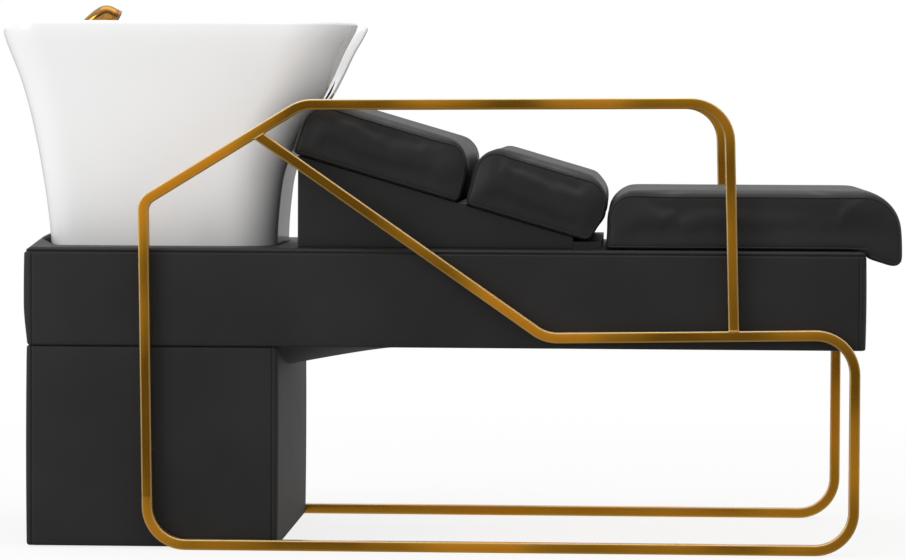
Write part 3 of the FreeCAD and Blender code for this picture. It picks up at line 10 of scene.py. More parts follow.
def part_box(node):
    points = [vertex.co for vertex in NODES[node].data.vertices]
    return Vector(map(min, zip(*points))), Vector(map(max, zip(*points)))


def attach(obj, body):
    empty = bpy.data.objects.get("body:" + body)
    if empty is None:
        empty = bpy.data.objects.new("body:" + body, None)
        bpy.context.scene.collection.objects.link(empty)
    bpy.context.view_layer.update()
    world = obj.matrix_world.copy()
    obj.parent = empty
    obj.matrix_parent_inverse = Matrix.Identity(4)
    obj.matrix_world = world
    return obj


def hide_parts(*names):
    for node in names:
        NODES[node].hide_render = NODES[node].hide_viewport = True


bl_info = {
    "name": "Hair washing bed",
    "version": (1, 0, 0),
    "blender": (4, 5, 0),
    "location": "3D View > Sidebar > Washing bed",
    "description": "Dresses the packed model of a hair washing bed",
    "category": "Add Mesh",
}

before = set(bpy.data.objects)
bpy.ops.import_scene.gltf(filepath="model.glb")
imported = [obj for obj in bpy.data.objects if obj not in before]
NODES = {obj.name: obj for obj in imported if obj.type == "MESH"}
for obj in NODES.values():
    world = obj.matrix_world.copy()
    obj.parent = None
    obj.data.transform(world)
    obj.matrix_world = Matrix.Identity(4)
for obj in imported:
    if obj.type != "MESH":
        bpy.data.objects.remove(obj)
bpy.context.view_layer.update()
MM = 0.001
MERGE = 1e-6
LEAST_RADIUS = 0.5 * MM


# Surfaces

def ramp(count):
    """Even steps from 0 to 1."""
    return np.linspace(0.0, 1.0, count)


def smooth(share):
    """Eased rise from 0 to 1."""
    share = np.clip(share, 0, 1)
    return share * share * (3 - 2 * share)


def unit(ways):
    """The same directions, each of length one."""
    return ways / np.linalg.norm(ways, axis=-1, keepdims=True)


def grid_quads(rows, cols, close_rows, close_cols):
    """Quads of a grid: each joins a point, the next in its row and the two in the row after."""
    r, c = np.meshgrid(np.arange(rows if close_rows else rows - 1),
                       np.arange(cols if close_cols else cols - 1), indexing="ij")
    r2, c2 = (r + 1) % rows, (c + 1) % cols
    quads = np.stack([r * cols + c, r * cols + c2, r2 * cols + c2, r2 * cols + c], -1)
    steps = np.stack([np.stack([r, c], -1), np.stack([r, c + 1], -1),
                      np.stack([r + 1, c + 1], -1), np.stack([r + 1, c], -1)], -2)
    return quads.reshape(-1, 4), steps.reshape(-1, 4, 2)


def surface(name, points, close_rows=False, close_cols=False, along=None, around=None, crease=40.0,
            opening=None):
    """A mesh from a grid of points, in metres. along and around are the lengths that its UV map holds,
    one for each row and column, with one more where the grid closes. opening is true at the points
    of a window: quads with all four corners in it are left out."""
    rows, cols = points.shape[:2]
    quads, steps = grid_quads(rows, cols, close_rows, close_cols)
    if opening is not None:
        kept = ~opening.reshape(-1)[quads].all(1)
        quads, steps = quads[kept], steps[kept]
    mesh = bpy.data.meshes.new(name)
    mesh.from_pydata(points.reshape(-1, 3), [], quads)
    if along is not None:
        layer = mesh.uv_layers.new(name="length")
        uv = np.stack([np.asarray(along)[steps[..., 0]], np.asarray(around)[steps[..., 1]]], -1)
        layer.data.foreach_set("uv", uv.reshape(-1).astype(np.float32))
    return finished(name, mesh, crease)


def finished(name, mesh, crease=40.0):
    """Merges seams and poles, turns the faces outwards and links the object."""
    work = bmesh.new()
    work.from_mesh(mesh)
    bmesh.ops.remove_doubles(work, verts=work.verts, dist=MERGE)
    bmesh.ops.dissolve_degenerate(work, edges=work.edges, dist=MERGE)
    bmesh.ops.recalc_face_normals(work, faces=work.faces)
    work.to_mesh(mesh)
    work.free()
    for face in mesh.polygons:
        face.use_smooth = True
    mesh.set_sharp_from_angle(angle=math.radians(crease))
    made = bpy.data.objects.new(name, mesh)
    bpy.context.scene.collection.objects.link(made)
    return made


def turned_corner(corners, i):
    """A corner's place, the two unit ways out of it and half the angle between them."""
    here = np.array(corners[i][:2])
    back = np.array(corners[i - 1][:2]) - here
    ahead = np.array(corners[(i + 1) % len(corners)][:2]) - here
    back, ahead = unit(back), unit(ahead)
    return here, back, ahead, math.acos(float(np.clip(back @ ahead, -1, 1))) / 2


def corner_arc(here, back, ahead, half, radius, steps):
    """Points on the arc of a radius that touches both sides of a corner."""
    start = here + back * radius / math.tan(half)
    centre = here + unit(back + ahead) * radius / math.sin(half)
    side = unit(start - centre)
    other = unit(-back - side * (-back @ side))
    angle = ramp(steps)[:, None] * (math.pi - 2 * half)
    return centre + radius * (np.cos(angle) * side + np.sin(angle) * other)


def rounded_path(corners, steps=14):
    """Open line through corners (x, z, radius): straight runs joined by tangent arcs."""
    points = [np.array([corners[0][:2]])]
    for i in range(1, len(corners) - 1):
        points.append(corner_arc(*turned_corner(corners, i), corners[i][2], steps))
    points.append(np.array([corners[-1][:2]]))
    return np.concatenate(points)


def rounded_outline(corners, insets, run, steps=12):
    """Closed outline of (u, v, radius) corners. Side i, from corner i to the next, moves in by its own
    inset: each corner goes to where its two moved sides meet, and its radius shrinks where it is
    outward and grows where it is inward. Straight sides get points about run apart."""
    count = len(corners)
    flat = np.array([c[:2] for c in corners])
    after = np.roll(flat, -1, 0)
    turn = np.sign(np.sum(flat[:, 0] * after[:, 1] - after[:, 0] * flat[:, 1]))
    arcs = []
    for i in range(count):
        here, back, ahead, half = turned_corner(corners, i)
        inward = turn * np.array([(back[1], -back[0]), (-ahead[1], ahead[0])])
        place = here + np.linalg.solve(inward, [insets[i - 1], insets[i]])
        outward_corner = turn * (-back[0] * ahead[1] + back[1] * ahead[0]) > 0
        change = max(insets[i - 1], insets[i])
        radius = max(corners[i][2] - change, LEAST_RADIUS) if outward_corner else corners[i][2] + change
        arcs.append(corner_arc(place, back, ahead, half, radius, steps))
    pieces = []
    for i, arc in enumerate(arcs):
        parts = max(int(math.dist(flat[i], after[i]) / run), 1)
        goal = arcs[(i + 1) % count][0]
        pieces += [arc, arc[-1] + (goal - arc[-1]) * ramp(parts + 1)[1:-1, None]]
    return np.concatenate(pieces)


def plan(x0, x1, half, back_radius, front_radius, fine=1.3 * MM, run=24 * MM, steps=12):
    """Rounded rectangle in plan, anticlockwise. Its straight sides have fine steps beside the corners
    and longer ones between."""
    corners = [(x0, -half, back_radius), (x1, -half, front_radius), (x1, half, front_radius),
               (x0, half, back_radius)]
    arcs = [corner_arc(*turned_corner(corners, i), corners[i][2], steps) for i in range(4)]
    pieces = []
    for i in range(4):
        start, goal = arcs[i][-1], arcs[(i + 1) % 4][0]
        length = math.dist(start, goal)
        near = fine * np.arange(1, 6)
        middle = np.linspace(near[-1], length - near[-1], max(int(length / run), 1) + 1)[1:-1]
        share = np.concatenate([near, middle, length - near[::-1]])[:, None] / length
        pieces += [arcs[i], start + (goal - start) * share]
    return np.concatenate(pieces)


def outward(ring):
    """Unit way out of a closed anticlockwise outline at each of its points."""
    way = np.roll(ring, -1, 0) - np.roll(ring, 1, 0)
    return unit(np.stack([way[:, 1], -way[:, 0]], -1))


def matched(centre, *outlines):
    """Closed outlines round one centre, each with a point at every angle that any of them has one at."""
    angles = [np.arctan2(line[:, 1] - centre[1], line[:, 0] - centre[0]) for line in outlines]
    every = np.unique(np.round(np.concatenate(angles), 5))
    return [np.stack([np.interp(every, angle, line[:, k], period=2 * math.pi) for k in (0, 1)], -1)
            for line, angle in zip(outlines, angles)]


def levels(ring, offsets, heights):
    """Rows of points: the outline moved out by an offset at each height. offsets holds one for each
    height, or one for each height and point."""
    offsets = np.broadcast_to(np.atleast_2d(np.asarray(offsets).T).T, (len(heights), len(ring)))
    flat = ring[None] + outward(ring)[None] * offsets[..., None]
    z = np.broadcast_to(np.asarray(heights)[:, None, None], flat.shape[:2] + (1,))
    return np.concatenate([flat, z], -1)


def tangents(path):
    """Unit direction at each point of a line, from the points beside it."""
    return unit(np.gradient(path, axis=0))


def lengths(points):
    """Length along a line at each of its points."""
    steps = np.linalg.norm(np.diff(points, axis=0), axis=1)
    return np.concatenate([[0.0], np.cumsum(steps)])


def evenly_spaced(line, step):
    """The same closed line with its points at even steps along it."""
    closed = np.concatenate([line, line[:1]])
    run = lengths(closed)
    even = np.linspace(0, run[-1], round(run[-1] / step), endpoint=False)
    return np.stack([np.interp(even, run, column) for column in closed.T], -1)


def slid(ring, way, face):
    """End ring of a tube, slid along the tube's way until it lies on a face (spot, normal) in X and Z."""
    spot, normal = face
    step = ((np.array(spot) - ring[:, [0, 2]]) @ normal) / (way @ normal)
    return ring + step[:, None] * np.array([way[0], 0.0, way[1]])


def flat_sweep(name, path, plane, section, faces=(None, None), crease=40.0):
    """A section (a, b) carried along a line in X and Z at Y = plane: a lies along Y and b along the
    line's normal. Both ends are closed on their centre, and an end with a face is cut to lie on it."""
    way = tangents(path)
    normal = np.stack([-way[:, 1], way[:, 0]], -1)
    a, b = section[:, 0], section[:, 1]
    x = path[:, None, 0] + normal[:, None, 0] * b
    z = path[:, None, 1] + normal[:, None, 1] * b
    y = np.broadcast_to(plane + a, x.shape)
    points = np.stack([x, y, z], -1)
    for end, face in zip((0, -1), faces):
        if face is not None:
            points[end] = slid(points[end], way[end], face)
    centres = points[[0, -1]].mean(1, keepdims=True) + 0 * points[[0, -1]]
    points = np.concatenate([centres[:1], points, centres[1:]])
    along = lengths(path)
    along = np.concatenate([along[:1], along, along[-1:]])
    ring = np.concatenate([section, section[:1]])
    return surface(name, points, close_cols=True, along=along, around=lengths(ring), crease=crease)


def round_sweep(name, path, way, radii, steps=48, crease=30.0):
    """A round section whose radius changes along a line in X and Z, mid way across the bed. way is the
    section's direction at each point."""
    normal = np.stack([-way[:, 1], way[:, 0]], -1)
    angle = np.arange(steps) * 2 * math.pi / steps
    out = radii[:, None] * np.cos(angle)
    x = path[:, None, 0] + normal[:, None, 0] * out
    z = path[:, None, 1] + normal[:, None, 1] * out
    y = radii[:, None] * np.sin(angle)
    return surface(name, np.stack([x, y, z], -1), close_cols=True, crease=crease)


def ring_cord(name, path, radius, normal=(0.0, 1.0, 0.0), steps=10):
    """A thin round cord along a closed line that lies near a plane with the given normal."""
    way = np.roll(path, -1, 0) - np.roll(path, 1, 0)
    out = unit(np.cross(way, normal))
    angle = (np.arange(steps) * 2 * math.pi / steps)[:, None]
    ring = np.cos(angle) * out[:, None] + np.sin(angle) * np.array(normal)
    return surface(name, path[:, None] + radius * ring, close_rows=True, close_cols=True)


def nearest(piece, line, lift):
    """Where a line meets a finished piece: its nearest points, raised by lift out of the surface."""
    tree = BVHTree.FromObject(piece, bpy.context.evaluated_depsgraph_get())
    found = [tree.find_nearest(point) for point in line]
    return np.array([spot + normal * lift for spot, normal, _, _ in found])


def square_section(half, corner, steps=6):
    """Outline of a square tube with rounded corners."""
    side = half - corner
    quarter = ramp(steps) * math.pi / 2
    signs = np.array([(1, 1), (-1, 1), (-1, -1), (1, -1)], float)
    turn = quarter[None] + (np.arange(4) * math.pi / 2)[:, None]
    a = signs[:, :1] * side + corner * np.cos(turn)
    b = signs[:, 1:] * side + corner * np.sin(turn)
    return np.stack([a.reshape(-1), b.reshape(-1)], -1)


# Shader values

class Value:
    """A number that changes over a surface. Arithmetic on it adds Math nodes to its finish."""

    def __init__(self, finish, socket):
        self.finish = finish
        self.socket = socket

    def with_(self, operation, *values):
        """The result of a Math operation on the values, or on this one alone."""
        sockets = dict(enumerate(values or (self,)))
        return Value(self.finish, self.finish.node("Math", {"operation": operation}, sockets).outputs[0])

    def __add__(self, other):
        return self.with_("ADD", self, other)

    __radd__ = __add__

    def __sub__(self, other):
        return self.with_("SUBTRACT", self, other)

    def __rsub__(self, other):
        return self.with_("SUBTRACT", other, self)

    def __mul__(self, other):
        return self.with_("MULTIPLY", self, other)

    __rmul__ = __mul__

    def __truediv__(self, other):
        return self.with_("DIVIDE", self, other)

    def larger(self, other):
        """The larger of two values."""
        return self.with_("MAXIMUM", self, other)

    def clamped(self):
        """Kept from 0 to 1."""
        return self.with_("MINIMUM", self.with_("MAXIMUM", self, 0.0), 1.0)

    def between(self, low, high):
        """0 below low, 1 above high, and a straight rise from one to the other."""
        return ((self - low) / (high - low)).clamped()


class Finish:
    """The nodes of one material or world, and the one method that they are all made with."""

    def __init__(self, name, library=None):
        self.made = (bpy.data.materials if library is None else library).new(name)
        self.made.use_nodes = True
        self.tree = self.made.node_tree
        self.tree.nodes.clear()

    def node(self, kind, settings=None, sockets=None):
        """Adds a node of a type: its settings first, then the values or links of its sockets."""
        made = self.tree.nodes.new("ShaderNode" + kind)
        for key, value in (settings or {}).items():
            setattr(made, key, value)
        for key, value in (sockets or {}).items():
            if isinstance(value, Value):
                value = value.socket
            if isinstance(value, bpy.types.NodeSocket):
                self.tree.links.new(value, made.inputs[key])
            else:
                made.inputs[key].default_value = value
        return made

    def scaled(self, spot, stretch):
        """Coordinates scaled by stretch."""
        sockets = {"Vector": spot, "Scale": stretch}
        return self.node("Mapping", {"vector_type": "POINT"}, sockets).outputs[0]

    def place(self, stretch=(1.0, 1.0, 1.0)):
        """Object coordinates in metres, scaled by stretch."""
        return self.scaled(self.node("TexCoord").outputs["Object"], stretch)

    def lengthwise(self, stretch=(1.0, 1.0, 1.0)):
        """The piece's own UV lengths, scaled by stretch."""
        return self.scaled(self.node("UVMap", {"uv_map": "length"}).outputs[0], stretch)

    def axis(self, name):
        """One of the three object coordinates."""
        spot = self.node("TexCoord").outputs["Object"]
        return Value(self, self.node("SeparateXYZ", None, {"Vector": spot}).outputs[name])

    def noise(self, vector, scale, detail, rough=0.5):
        """Cloudy noise."""
        sockets = {"Vector": vector, "Scale": scale, "Detail": detail, "Roughness": rough}
        return Value(self, self.node("TexNoise", None, sockets).outputs[0])

    def cells(self, vector, scale):
        """Round cells: the distance from the nearest of many scattered points."""
        made = self.node("TexVoronoi", None, {"Vector": vector, "Scale": scale})
        return Value(self, made.outputs["Distance"])

    def blend(self, factor, first, second):
        """A colour between two, by a value."""
        return self.node("Mix", {"data_type": "RGBA"}, {0: factor, 6: first, 7: second}).outputs[2]

    def bump(self, height, distance, strength, below=None):
        """A normal tilted by a height, on top of another normal if there is one."""
        sockets = {"Height": height, "Distance": distance, "Strength": strength}
        if below is not None:
            sockets["Normal"] = below
        return self.node("Bump", None, sockets).outputs[0]

    def shade(self, **sockets):
        """Ends the material in one Principled shader and returns the material."""
        self.node("OutputMaterial", None, {"Surface": self.principled(**sockets)})
        return self.made

    def principled(self, **sockets):
        """A Principled shader, with underscores for the spaces in its sockets' names."""
        named = {key.replace("_", " "): value for key, value in sockets.items()}
        return self.node("BsdfPrincipled", None, named).outputs[0]

    def either(self, factor, first, second):
        """A shader between two, by a value."""
        return self.node("MixShader", None, {0: factor, 1: first, 2: second}).outputs[0]


def tone(colour, factor=1.0):
    """A colour property as the four numbers of a node socket, made lighter or darker."""
    return tuple(min(part * factor, 1.0) for part in colour) + (1.0,)


FINISHES = {}
MOTTLE_SCALE, FINE_SCALE = 18.0, 720.0
BLACK_STEEL = (0.025, 0.025, 0.027)
ZINC = (0.55, 0.56, 0.58)
RUBBER = (0.02, 0.02, 0.02)
GREY = (0.35, 0.35, 0.36)
BIRCH_LINE = (0.50, 0.34, 0.19)
BIRCH_FACE = (0.68, 0.51, 0.32)


def finish(name, maker):
    """The material of a name, made once."""
    if name not in FINISHES:
        FINISHES[name] = maker(name)
    return FINISHES[name]


def leatherette(name):
    """Charcoal leatherette: pebbled grain about a millimetre across, soft sheen, faint cloudy tone."""
    colours = bpy.context.scene.bed_finishes
    f = Finish(name)
    spot = f.place()
    cloud = f.noise(spot, 6.0, 2.0)
    grain = f.cells(spot, 900.0) * 0.6 + f.noise(spot, 2200.0, 2.0) * 0.4
    ripple = f.noise(spot, 26.0, 2.0)
    base = f.blend(cloud.between(0.3, 0.7), tone(colours.leatherette, 0.86), tone(colours.leatherette, 1.12))
    normal = f.bump(ripple, 1.2 * MM, 0.35)
    normal = f.bump(grain, 0.18 * MM, 0.5, normal)
    rough = 0.47 + 0.10 * cloud + 0.06 * grain
    return f.shade(Base_Color=base, Roughness=rough, Normal=normal, Specular_IOR_Level=0.4)


def tube_corner_middle():
    """Length round a square tube's section from its start to the middle of its first corner."""
    return bpy.context.scene.bed_sizes.tube_corner * math.pi / 4


def tube_side():
    """Length round a square tube's section from one corner to the next."""
    lo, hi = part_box("arm_tube_right")
    corner = bpy.context.scene.bed_sizes.tube_corner
    return hi.y - lo.y - 2 * corner + corner * math.pi / 2


def brushed_gold(name):
    """Gold plate on square tube, brushed along its length: fine streaks, a smoky tone in long patches with
    paler worn stretches at random, and a painted highlight of pale gold along the rounded corners of the
    tube's section."""
    colours = bpy.context.scene.bed_finishes
    f = Finish(name)
    streaks = f.noise(f.lengthwise((5.0, 1500.0, 1.0)), 1.0, 4.0, 0.6)
    fine = f.noise(f.lengthwise((40.0, 5200.0, 1.0)), 1.0, 2.0)
    # Worn stretches at random: a paler tone and more roughness, placed by noise along the tube.
    rubbed_and_highlight = f.noise(f.lengthwise((2.6, 2.6, 1.0)), 1.0, 2.0).between(0.40, 0.58)
    smoky = f.blend(rubbed_and_highlight, tone(colours.gold, 0.75), tone(colours.gold, 1.3))
    face = f.blend((streaks + fine).between(0.75, 1.3), smoky, tone(colours.gold, 1.3))
    around = Value(f, f.node("SeparateXYZ", None, {"Vector": f.lengthwise()}).outputs["Y"])
    # Painted highlight: a mask along the rounded corners of the tube's section, where a pale gold stands in
    # for the light that the corners catch; the corners are also made rougher.
    turn = 2 * math.pi / tube_side()
    corner = (turn * around - turn * tube_corner_middle()).with_("COSINE").between(0.5, 0.9)
    base = f.blend(0.85 * corner, face, tone(colours.rubbed_and_highlight))
    rough = 0.14 + 0.14 * streaks + (0.42 * rubbed_and_highlight).larger(0.25 * corner)
    normal = f.bump(streaks + fine, 0.05 * MM, 0.7)
    return f.shade(Base_Color=base, Metallic=1.0, Roughness=rough, Normal=normal)


def polished_gold(name):
    """Mirror gold of the taps, with faint clouds in its shine."""
    colours = bpy.context.scene.bed_finishes
    f = Finish(name)
    cloud = f.noise(f.place(), 60.0, 2.0)
    wave = f.noise(f.place(), 110.0, 2.0)
    base = f.blend(cloud, tone(colours.tap), tone(colours.tap, 0.88))
    rough = 0.05 + 0.05 * cloud
    return f.shade(Base_Color=base, Metallic=1.0, Roughness=rough, Normal=f.bump(wave, 0.6 * MM, 0.3))


def glazed_ceramic(name):
    """White glaze: faint waves in the surface under a clear coat."""
    colours = bpy.context.scene.bed_finishes
    f = Finish(name)
    wave = f.noise(f.place(), 9.0, 2.0)
    speck = f.noise(f.place(), 240.0, 2.0)
    base = f.blend(wave, tone(colours.ceramic), tone(colours.ceramic, 0.985))
    normal = f.bump(wave, 1.2 * MM, 0.25)
    return f.shade(Base_Color=base, Roughness=0.16 + 0.05 * speck, Normal=normal,
                   Coat_Weight=0.6, Coat_Roughness=0.05)


def plain_finish(colour, metallic, rough):
    """A maker of a finish with a mottled tone and a fine texture, for pieces that show little."""

    def make(name):
        f = Finish(name)
        spot = f.place()
        mottle = f.noise(spot, MOTTLE_SCALE, 3.0)
        fine = f.noise(spot, FINE_SCALE, 3.0)
        base = f.blend(mottle, tone(colour, 0.85), tone(colour, 1.12))
        return f.shade(Base_Color=base, Metallic=metallic, Roughness=rough + 0.12 * (fine - 0.5),
                       Normal=f.bump(fine, 0.1 * MM, 0.5))

    return make


def plywood(name):
    """Birch plywood: pale long-grained face with darker growth lines."""
    f = Finish(name)
    spot = f.place((3.0, 60.0, 60.0))
    rings = f.noise(spot, 1.0, 5.0, 0.6)
    fine = f.noise(f.place((8.0, 700.0, 700.0)), 1.0, 3.0)
    base = f.blend(rings.between(0.35, 0.65), tone(BIRCH_LINE), tone(BIRCH_FACE))
    return f.shade(Base_Color=base, Roughness=0.55 + 0.15 * fine, Normal=f.bump(fine, 0.2 * MM, 0.4))


black_plastic = plain_finish(RUBBER, 0.0, 0.4)
SLOT_FINISHES = {
    "black_leatherette": ("leatherette", leatherette),
    "brushed_gold": ("brushed gold", brushed_gold),
    "polished_gold": ("polished gold", polished_gold),
    "white_ceramic": ("glazed ceramic", glazed_ceramic),
    "black_plastic": ("black plastic", black_plastic),
}


def coat(piece, name, maker):
    """Gives a piece its one material."""
    piece.data.materials.clear()
    piece.data.materials.append(finish(name, maker))


def wear(piece, body, slot, *nodes):
    """Gives a new piece the finish of its slot, its body and the nodes that it stands for."""
    coat(piece, *SLOT_FINISHES[slot])
    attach(piece, body)
    if nodes:
        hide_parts(*nodes)


# Sizes and colours that a user would change

def metres(name, text, value):
    """A length that can be changed."""
    return bpy.props.FloatProperty(name=name, description=text, default=value, min=0.0, unit="LENGTH",
                                   precision=4)


def paint(name, text, value):
    """A colour that can be changed."""
    return bpy.props.FloatVectorProperty(name=name, description=text, default=value, size=3, min=0.0,
                                         max=1.0, subtype="COLOR")


class BedSizes(bpy.types.PropertyGroup):
    """Sizes of the parts of the look that the frame doesn't fix."""

    tube_corner: metres("Tube corner", "Outer corner radius of the square tube", 2.4 * MM)
    bend: metres("Bend", "Centre line radius of the frame's bends", 70 * MM)
    shoulder_bend: metres("Shoulder bend", "Centre line radius of the bend above the head post", 28 * MM)
    rim_roll: metres("Rim roll", "Height of the rounded top of the basin's rim", 8 * MM)
    deck_fillet: metres("Deck fillet", "Rounding where the tap deck meets the rim and the bowl", 12 * MM)
    voxel: metres("Voxel", "Grid of the cushions before they are inflated", 5.5 * MM)
    swell: metres("Swell", "How far the inflated cushions may move", 5 * MM)
    welt: metres("Welt", "Radius of the sewn welt on the cushions", 1.5 * MM)
    weld: metres("Weld", "Radius of the weld bead round a tube's end", 1.4 * MM)
    seam_depth: metres("Seam depth", "How far the seams of the covers sink", 2.2 * MM)
    seam_width: metres("Seam width", "Half width of the seams of the covers", 1.6 * MM)


class BedFinishes(bpy.types.PropertyGroup):
    """Colours of the main materials."""

    leatherette: paint("Leatherette", "Colour of the covers", (0.0155, 0.0155, 0.016))
    gold: paint("Gold", "Colour of the frames", (0.76, 0.35, 0.028))
    # Painted highlight: the pale gold blended along the tubes' rounded corners, in place of the light that
    # they catch.
    rubbed_and_highlight: paint("Rubbed gold", "Colour of the tubes' rubbed corners", (1.0, 0.72, 0.32))
    tap: paint("Tap", "Colour of the mixer and the spray", (0.52, 0.26, 0.065))
    ceramic: paint("Ceramic", "Colour of the basin's glaze", (0.86, 0.86, 0.86))


# Frames

WELD_OVERLAP = 0.2 * MM
POST_JOINT = 96 * MM
POST_LEAN, POST_TOP = 8 * MM, 629 * MM
OBLIQUE_RUN, OBLIQUE_TOP = 277.5 * MM, 805 * MM
ARMREST_BACK, ARMREST_TOP = 228.5 * MM, 811 * MM
ARM_POST_BACK, ARM_POST_FOOT = 217 * MM, 393.5 * MM
BRACE_RUN, BRACE_TOP = 193.5 * MM, 753.2 * MM
RAIL_BACK, RAIL_LOW, RAIL_HIGH = 554.5 * MM, 388 * MM, 397 * MM


def frame_lines():
    """Centre lines of the two tubes of a side frame, as corners (x, z, radius) in metres, with half the
    tube's width and the frame's distance from the middle. A run is measured from the head's post and a
    back from the foot's, which the tubes' boxes give."""
    sizes = bpy.context.scene.bed_sizes
    arm_lo, arm_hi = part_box("arm_tube_right")
    loop_lo, loop_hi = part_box("loop_tube_right")
    half = (arm_hi.y - arm_lo.y) / 2
    post_x = loop_lo.x + half
    foot_x = loop_hi.x - half
    arm = [
        (post_x, POST_JOINT, 0),
        (post_x - POST_LEAN, POST_TOP, sizes.shoulder_bend),
        (post_x + OBLIQUE_RUN, OBLIQUE_TOP, sizes.bend),
        (foot_x - ARMREST_BACK, ARMREST_TOP, sizes.bend),
        (foot_x - ARM_POST_BACK, ARM_POST_FOOT, 0),
    ]
    loop = [
        (post_x + BRACE_RUN, BRACE_TOP, 0),
        (foot_x - RAIL_BACK, RAIL_LOW, sizes.bend),
        (foot_x, RAIL_HIGH, sizes.bend),
        (foot_x, half, sizes.bend),
        (post_x, half, sizes.bend),
        (post_x, POST_JOINT, 0),
    ]
    return arm, loop, half, -(arm_lo.y + arm_hi.y) / 2


def face_of(line, i, x, half):
    """Spot and normal of the lower face of a straight run of a tube, from corner i, at a station x. A
    negative half gives a spot on the upper face."""
    start, end = np.array(line[i][:2]), np.array(line[i + 1][:2])
    way = (end - start) / math.dist(start, end)
    normal = np.array([way[1], -way[0]])
    return start + way * (x - start[0]) / way[0] + normal * half, normal


def weld_bead(name, path, end, face, plane, section):
    """Bead round an end of a tube, where its section meets the face that it is welded to."""
    way = tangents(path)[end]
    across = np.array([-way[1], way[0]])
    spot = path[end] + across * section[:, 1:]
    ring = np.stack([spot[:, 0], plane + section[:, 0], spot[:, 1]], -1)
    normal = (face[1][0], 0.0, face[1][1])
    return ring_cord(name, slid(ring, way, face), bpy.context.scene.bed_sizes.weld, normal)


class BED_OT_frames(bpy.types.Operator):
    """Bent square tubes of the two side frames, in brushed gold, with their coped and welded ends"""

    bl_idname = "bed.frames"
    bl_label = "Side frames"

    def execute(self, context):
        arm, loop, half, plane = frame_lines()
        section = square_section(half, context.scene.bed_sizes.tube_corner)
        seat = half - WELD_OVERLAP
        brace_face = face_of(arm, 1, loop[0][0], seat)
        rail_face = face_of(loop, 1, arm[-1][0], -seat)
        tubes = (("arm_tube", arm, (None, rail_face)), ("loop_tube", loop, (brace_face, None)))
        welds = (("post_weld", arm, -1, rail_face), ("brace_weld", loop, 0, brace_face))
        for side, sign in (("right", -1), ("left", 1)):
            for name, line, faces in tubes:
                tube = flat_sweep(f"{name}_{side}_gold", rounded_path(line), sign * plane, section, faces)
                wear(tube, "root", "brushed_gold", f"{name}_{side}")
            for name, line, end, face in welds:
                bead = weld_bead(f"{name}_{side}", rounded_path(line), end, face, sign * plane, section)
                wear(bead, "root", "brushed_gold")
        return {"FINISHED"}


# Basin

SKIRT_SHARES = np.array([
    (0.00, 0.00, 0.00),
    (0.25, 0.065, 0.008),
    (0.36, 0.13, 0.035),
    (0.46, 0.215, 0.085),
    (0.56, 0.315, 0.20),
    (0.66, 0.435, 0.37),
    (0.75, 0.57, 0.575),
    (0.82, 0.70, 0.70),
    (0.90, 0.88, 0.83),
    (0.955, 0.99, 0.94),
    (0.99, 1.00, 1.00),
])
FLARE_BACK, FLARE_FRONT, FLARE_SIDE = 88 * MM, 150.5 * MM, 58 * MM
FRONT_FULLNESS, FULL_FROM, FULL_RISE = 9 * MM, 500 * MM, 46 * MM
SKIRT_BACK_RADIUS, SKIRT_FRONT_RADIUS, FOOT_RADIUS_SHARE = 72 * MM, 118 * MM, 0.75
CERAMIC, RIM_WIDTH = 10 * MM, 20 * MM
DECK_DEPTH, DECK_LENGTH = 75 * MM, 165 * MM
BOWL_DEPTH, BOWL_RADIUS = 229 * MM, 90 * MM
BOWL_FLOOR_LENGTH, BOWL_FLOOR_WIDTH = 190 * MM, 200 * MM
NOTCH_DEPTH, NOTCH_HALF, NOTCH_FLARE, NOTCH_RADIUS = 142 * MM, 92 * MM, 40 * MM, 70 * MM
NOTCH_SOFTNESS, NOTCH_BLEND = 9 * MM, 45 * MM
NOTCH_LEVELS, NOTCH_PLACES, SOFT_REACH = 200, 600, 90
DRAIN_RADIUS = 24.3 * MM
UNDER_ROOM = 1 * MM
LEAST_FILLET, FILLET_SHARE = 2 * MM, 0.4
CUBIC_RISE_SHARE, RIM_SLOPE_STEP = 0.75, 0.5 * MM
BACK_PLACES, SIDE_PLACES, CORNER_PLACES, FRONT_PLACES = 45, 16, 18, 61
SKIRT_ROWS, BOWL_ROWS, UNDER_ROWS, LINING_ROWS = 70, 40, 24, 30
LIP_ROWS, RECESS_ROWS, FILLET_ROWS, DECK_ROWS, FLOOR_ROWS = 15, 16, 9, 8, 8
BOWL_ROW_POWER, ROLL_POWER = 0.8, 6


def flare(share, column):
    """Flare at a share of the skirt's height: a smooth cubic through the rows of the share table."""
    at, value = SKIRT_SHARES[:, 0], SKIRT_SHARES[:, column]
    steep = np.empty_like(value)
    steep[1:-1] = (value[2:] - value[:-2]) / (at[2:] - at[:-2])
    steep[0] = (value[1] - value[0]) / (at[1] - at[0])
    steep[-1] = (value[-1] - value[-2]) / (at[-1] - at[-2])
    row = np.clip(np.searchsorted(at, share, side="right") - 1, 0, len(at) - 2)
    step = at[row + 1] - at[row]
    t = np.clip((share - at[row]) / step, 0, 1)
    bend = t * t * (3 - 2 * t)
    ease = steep[row] * step * t * (1 - t) ** 2 - steep[row + 1] * step * t * t * (1 - t)
    return value[row] * (1 - bend) + value[row + 1] * bend + ease


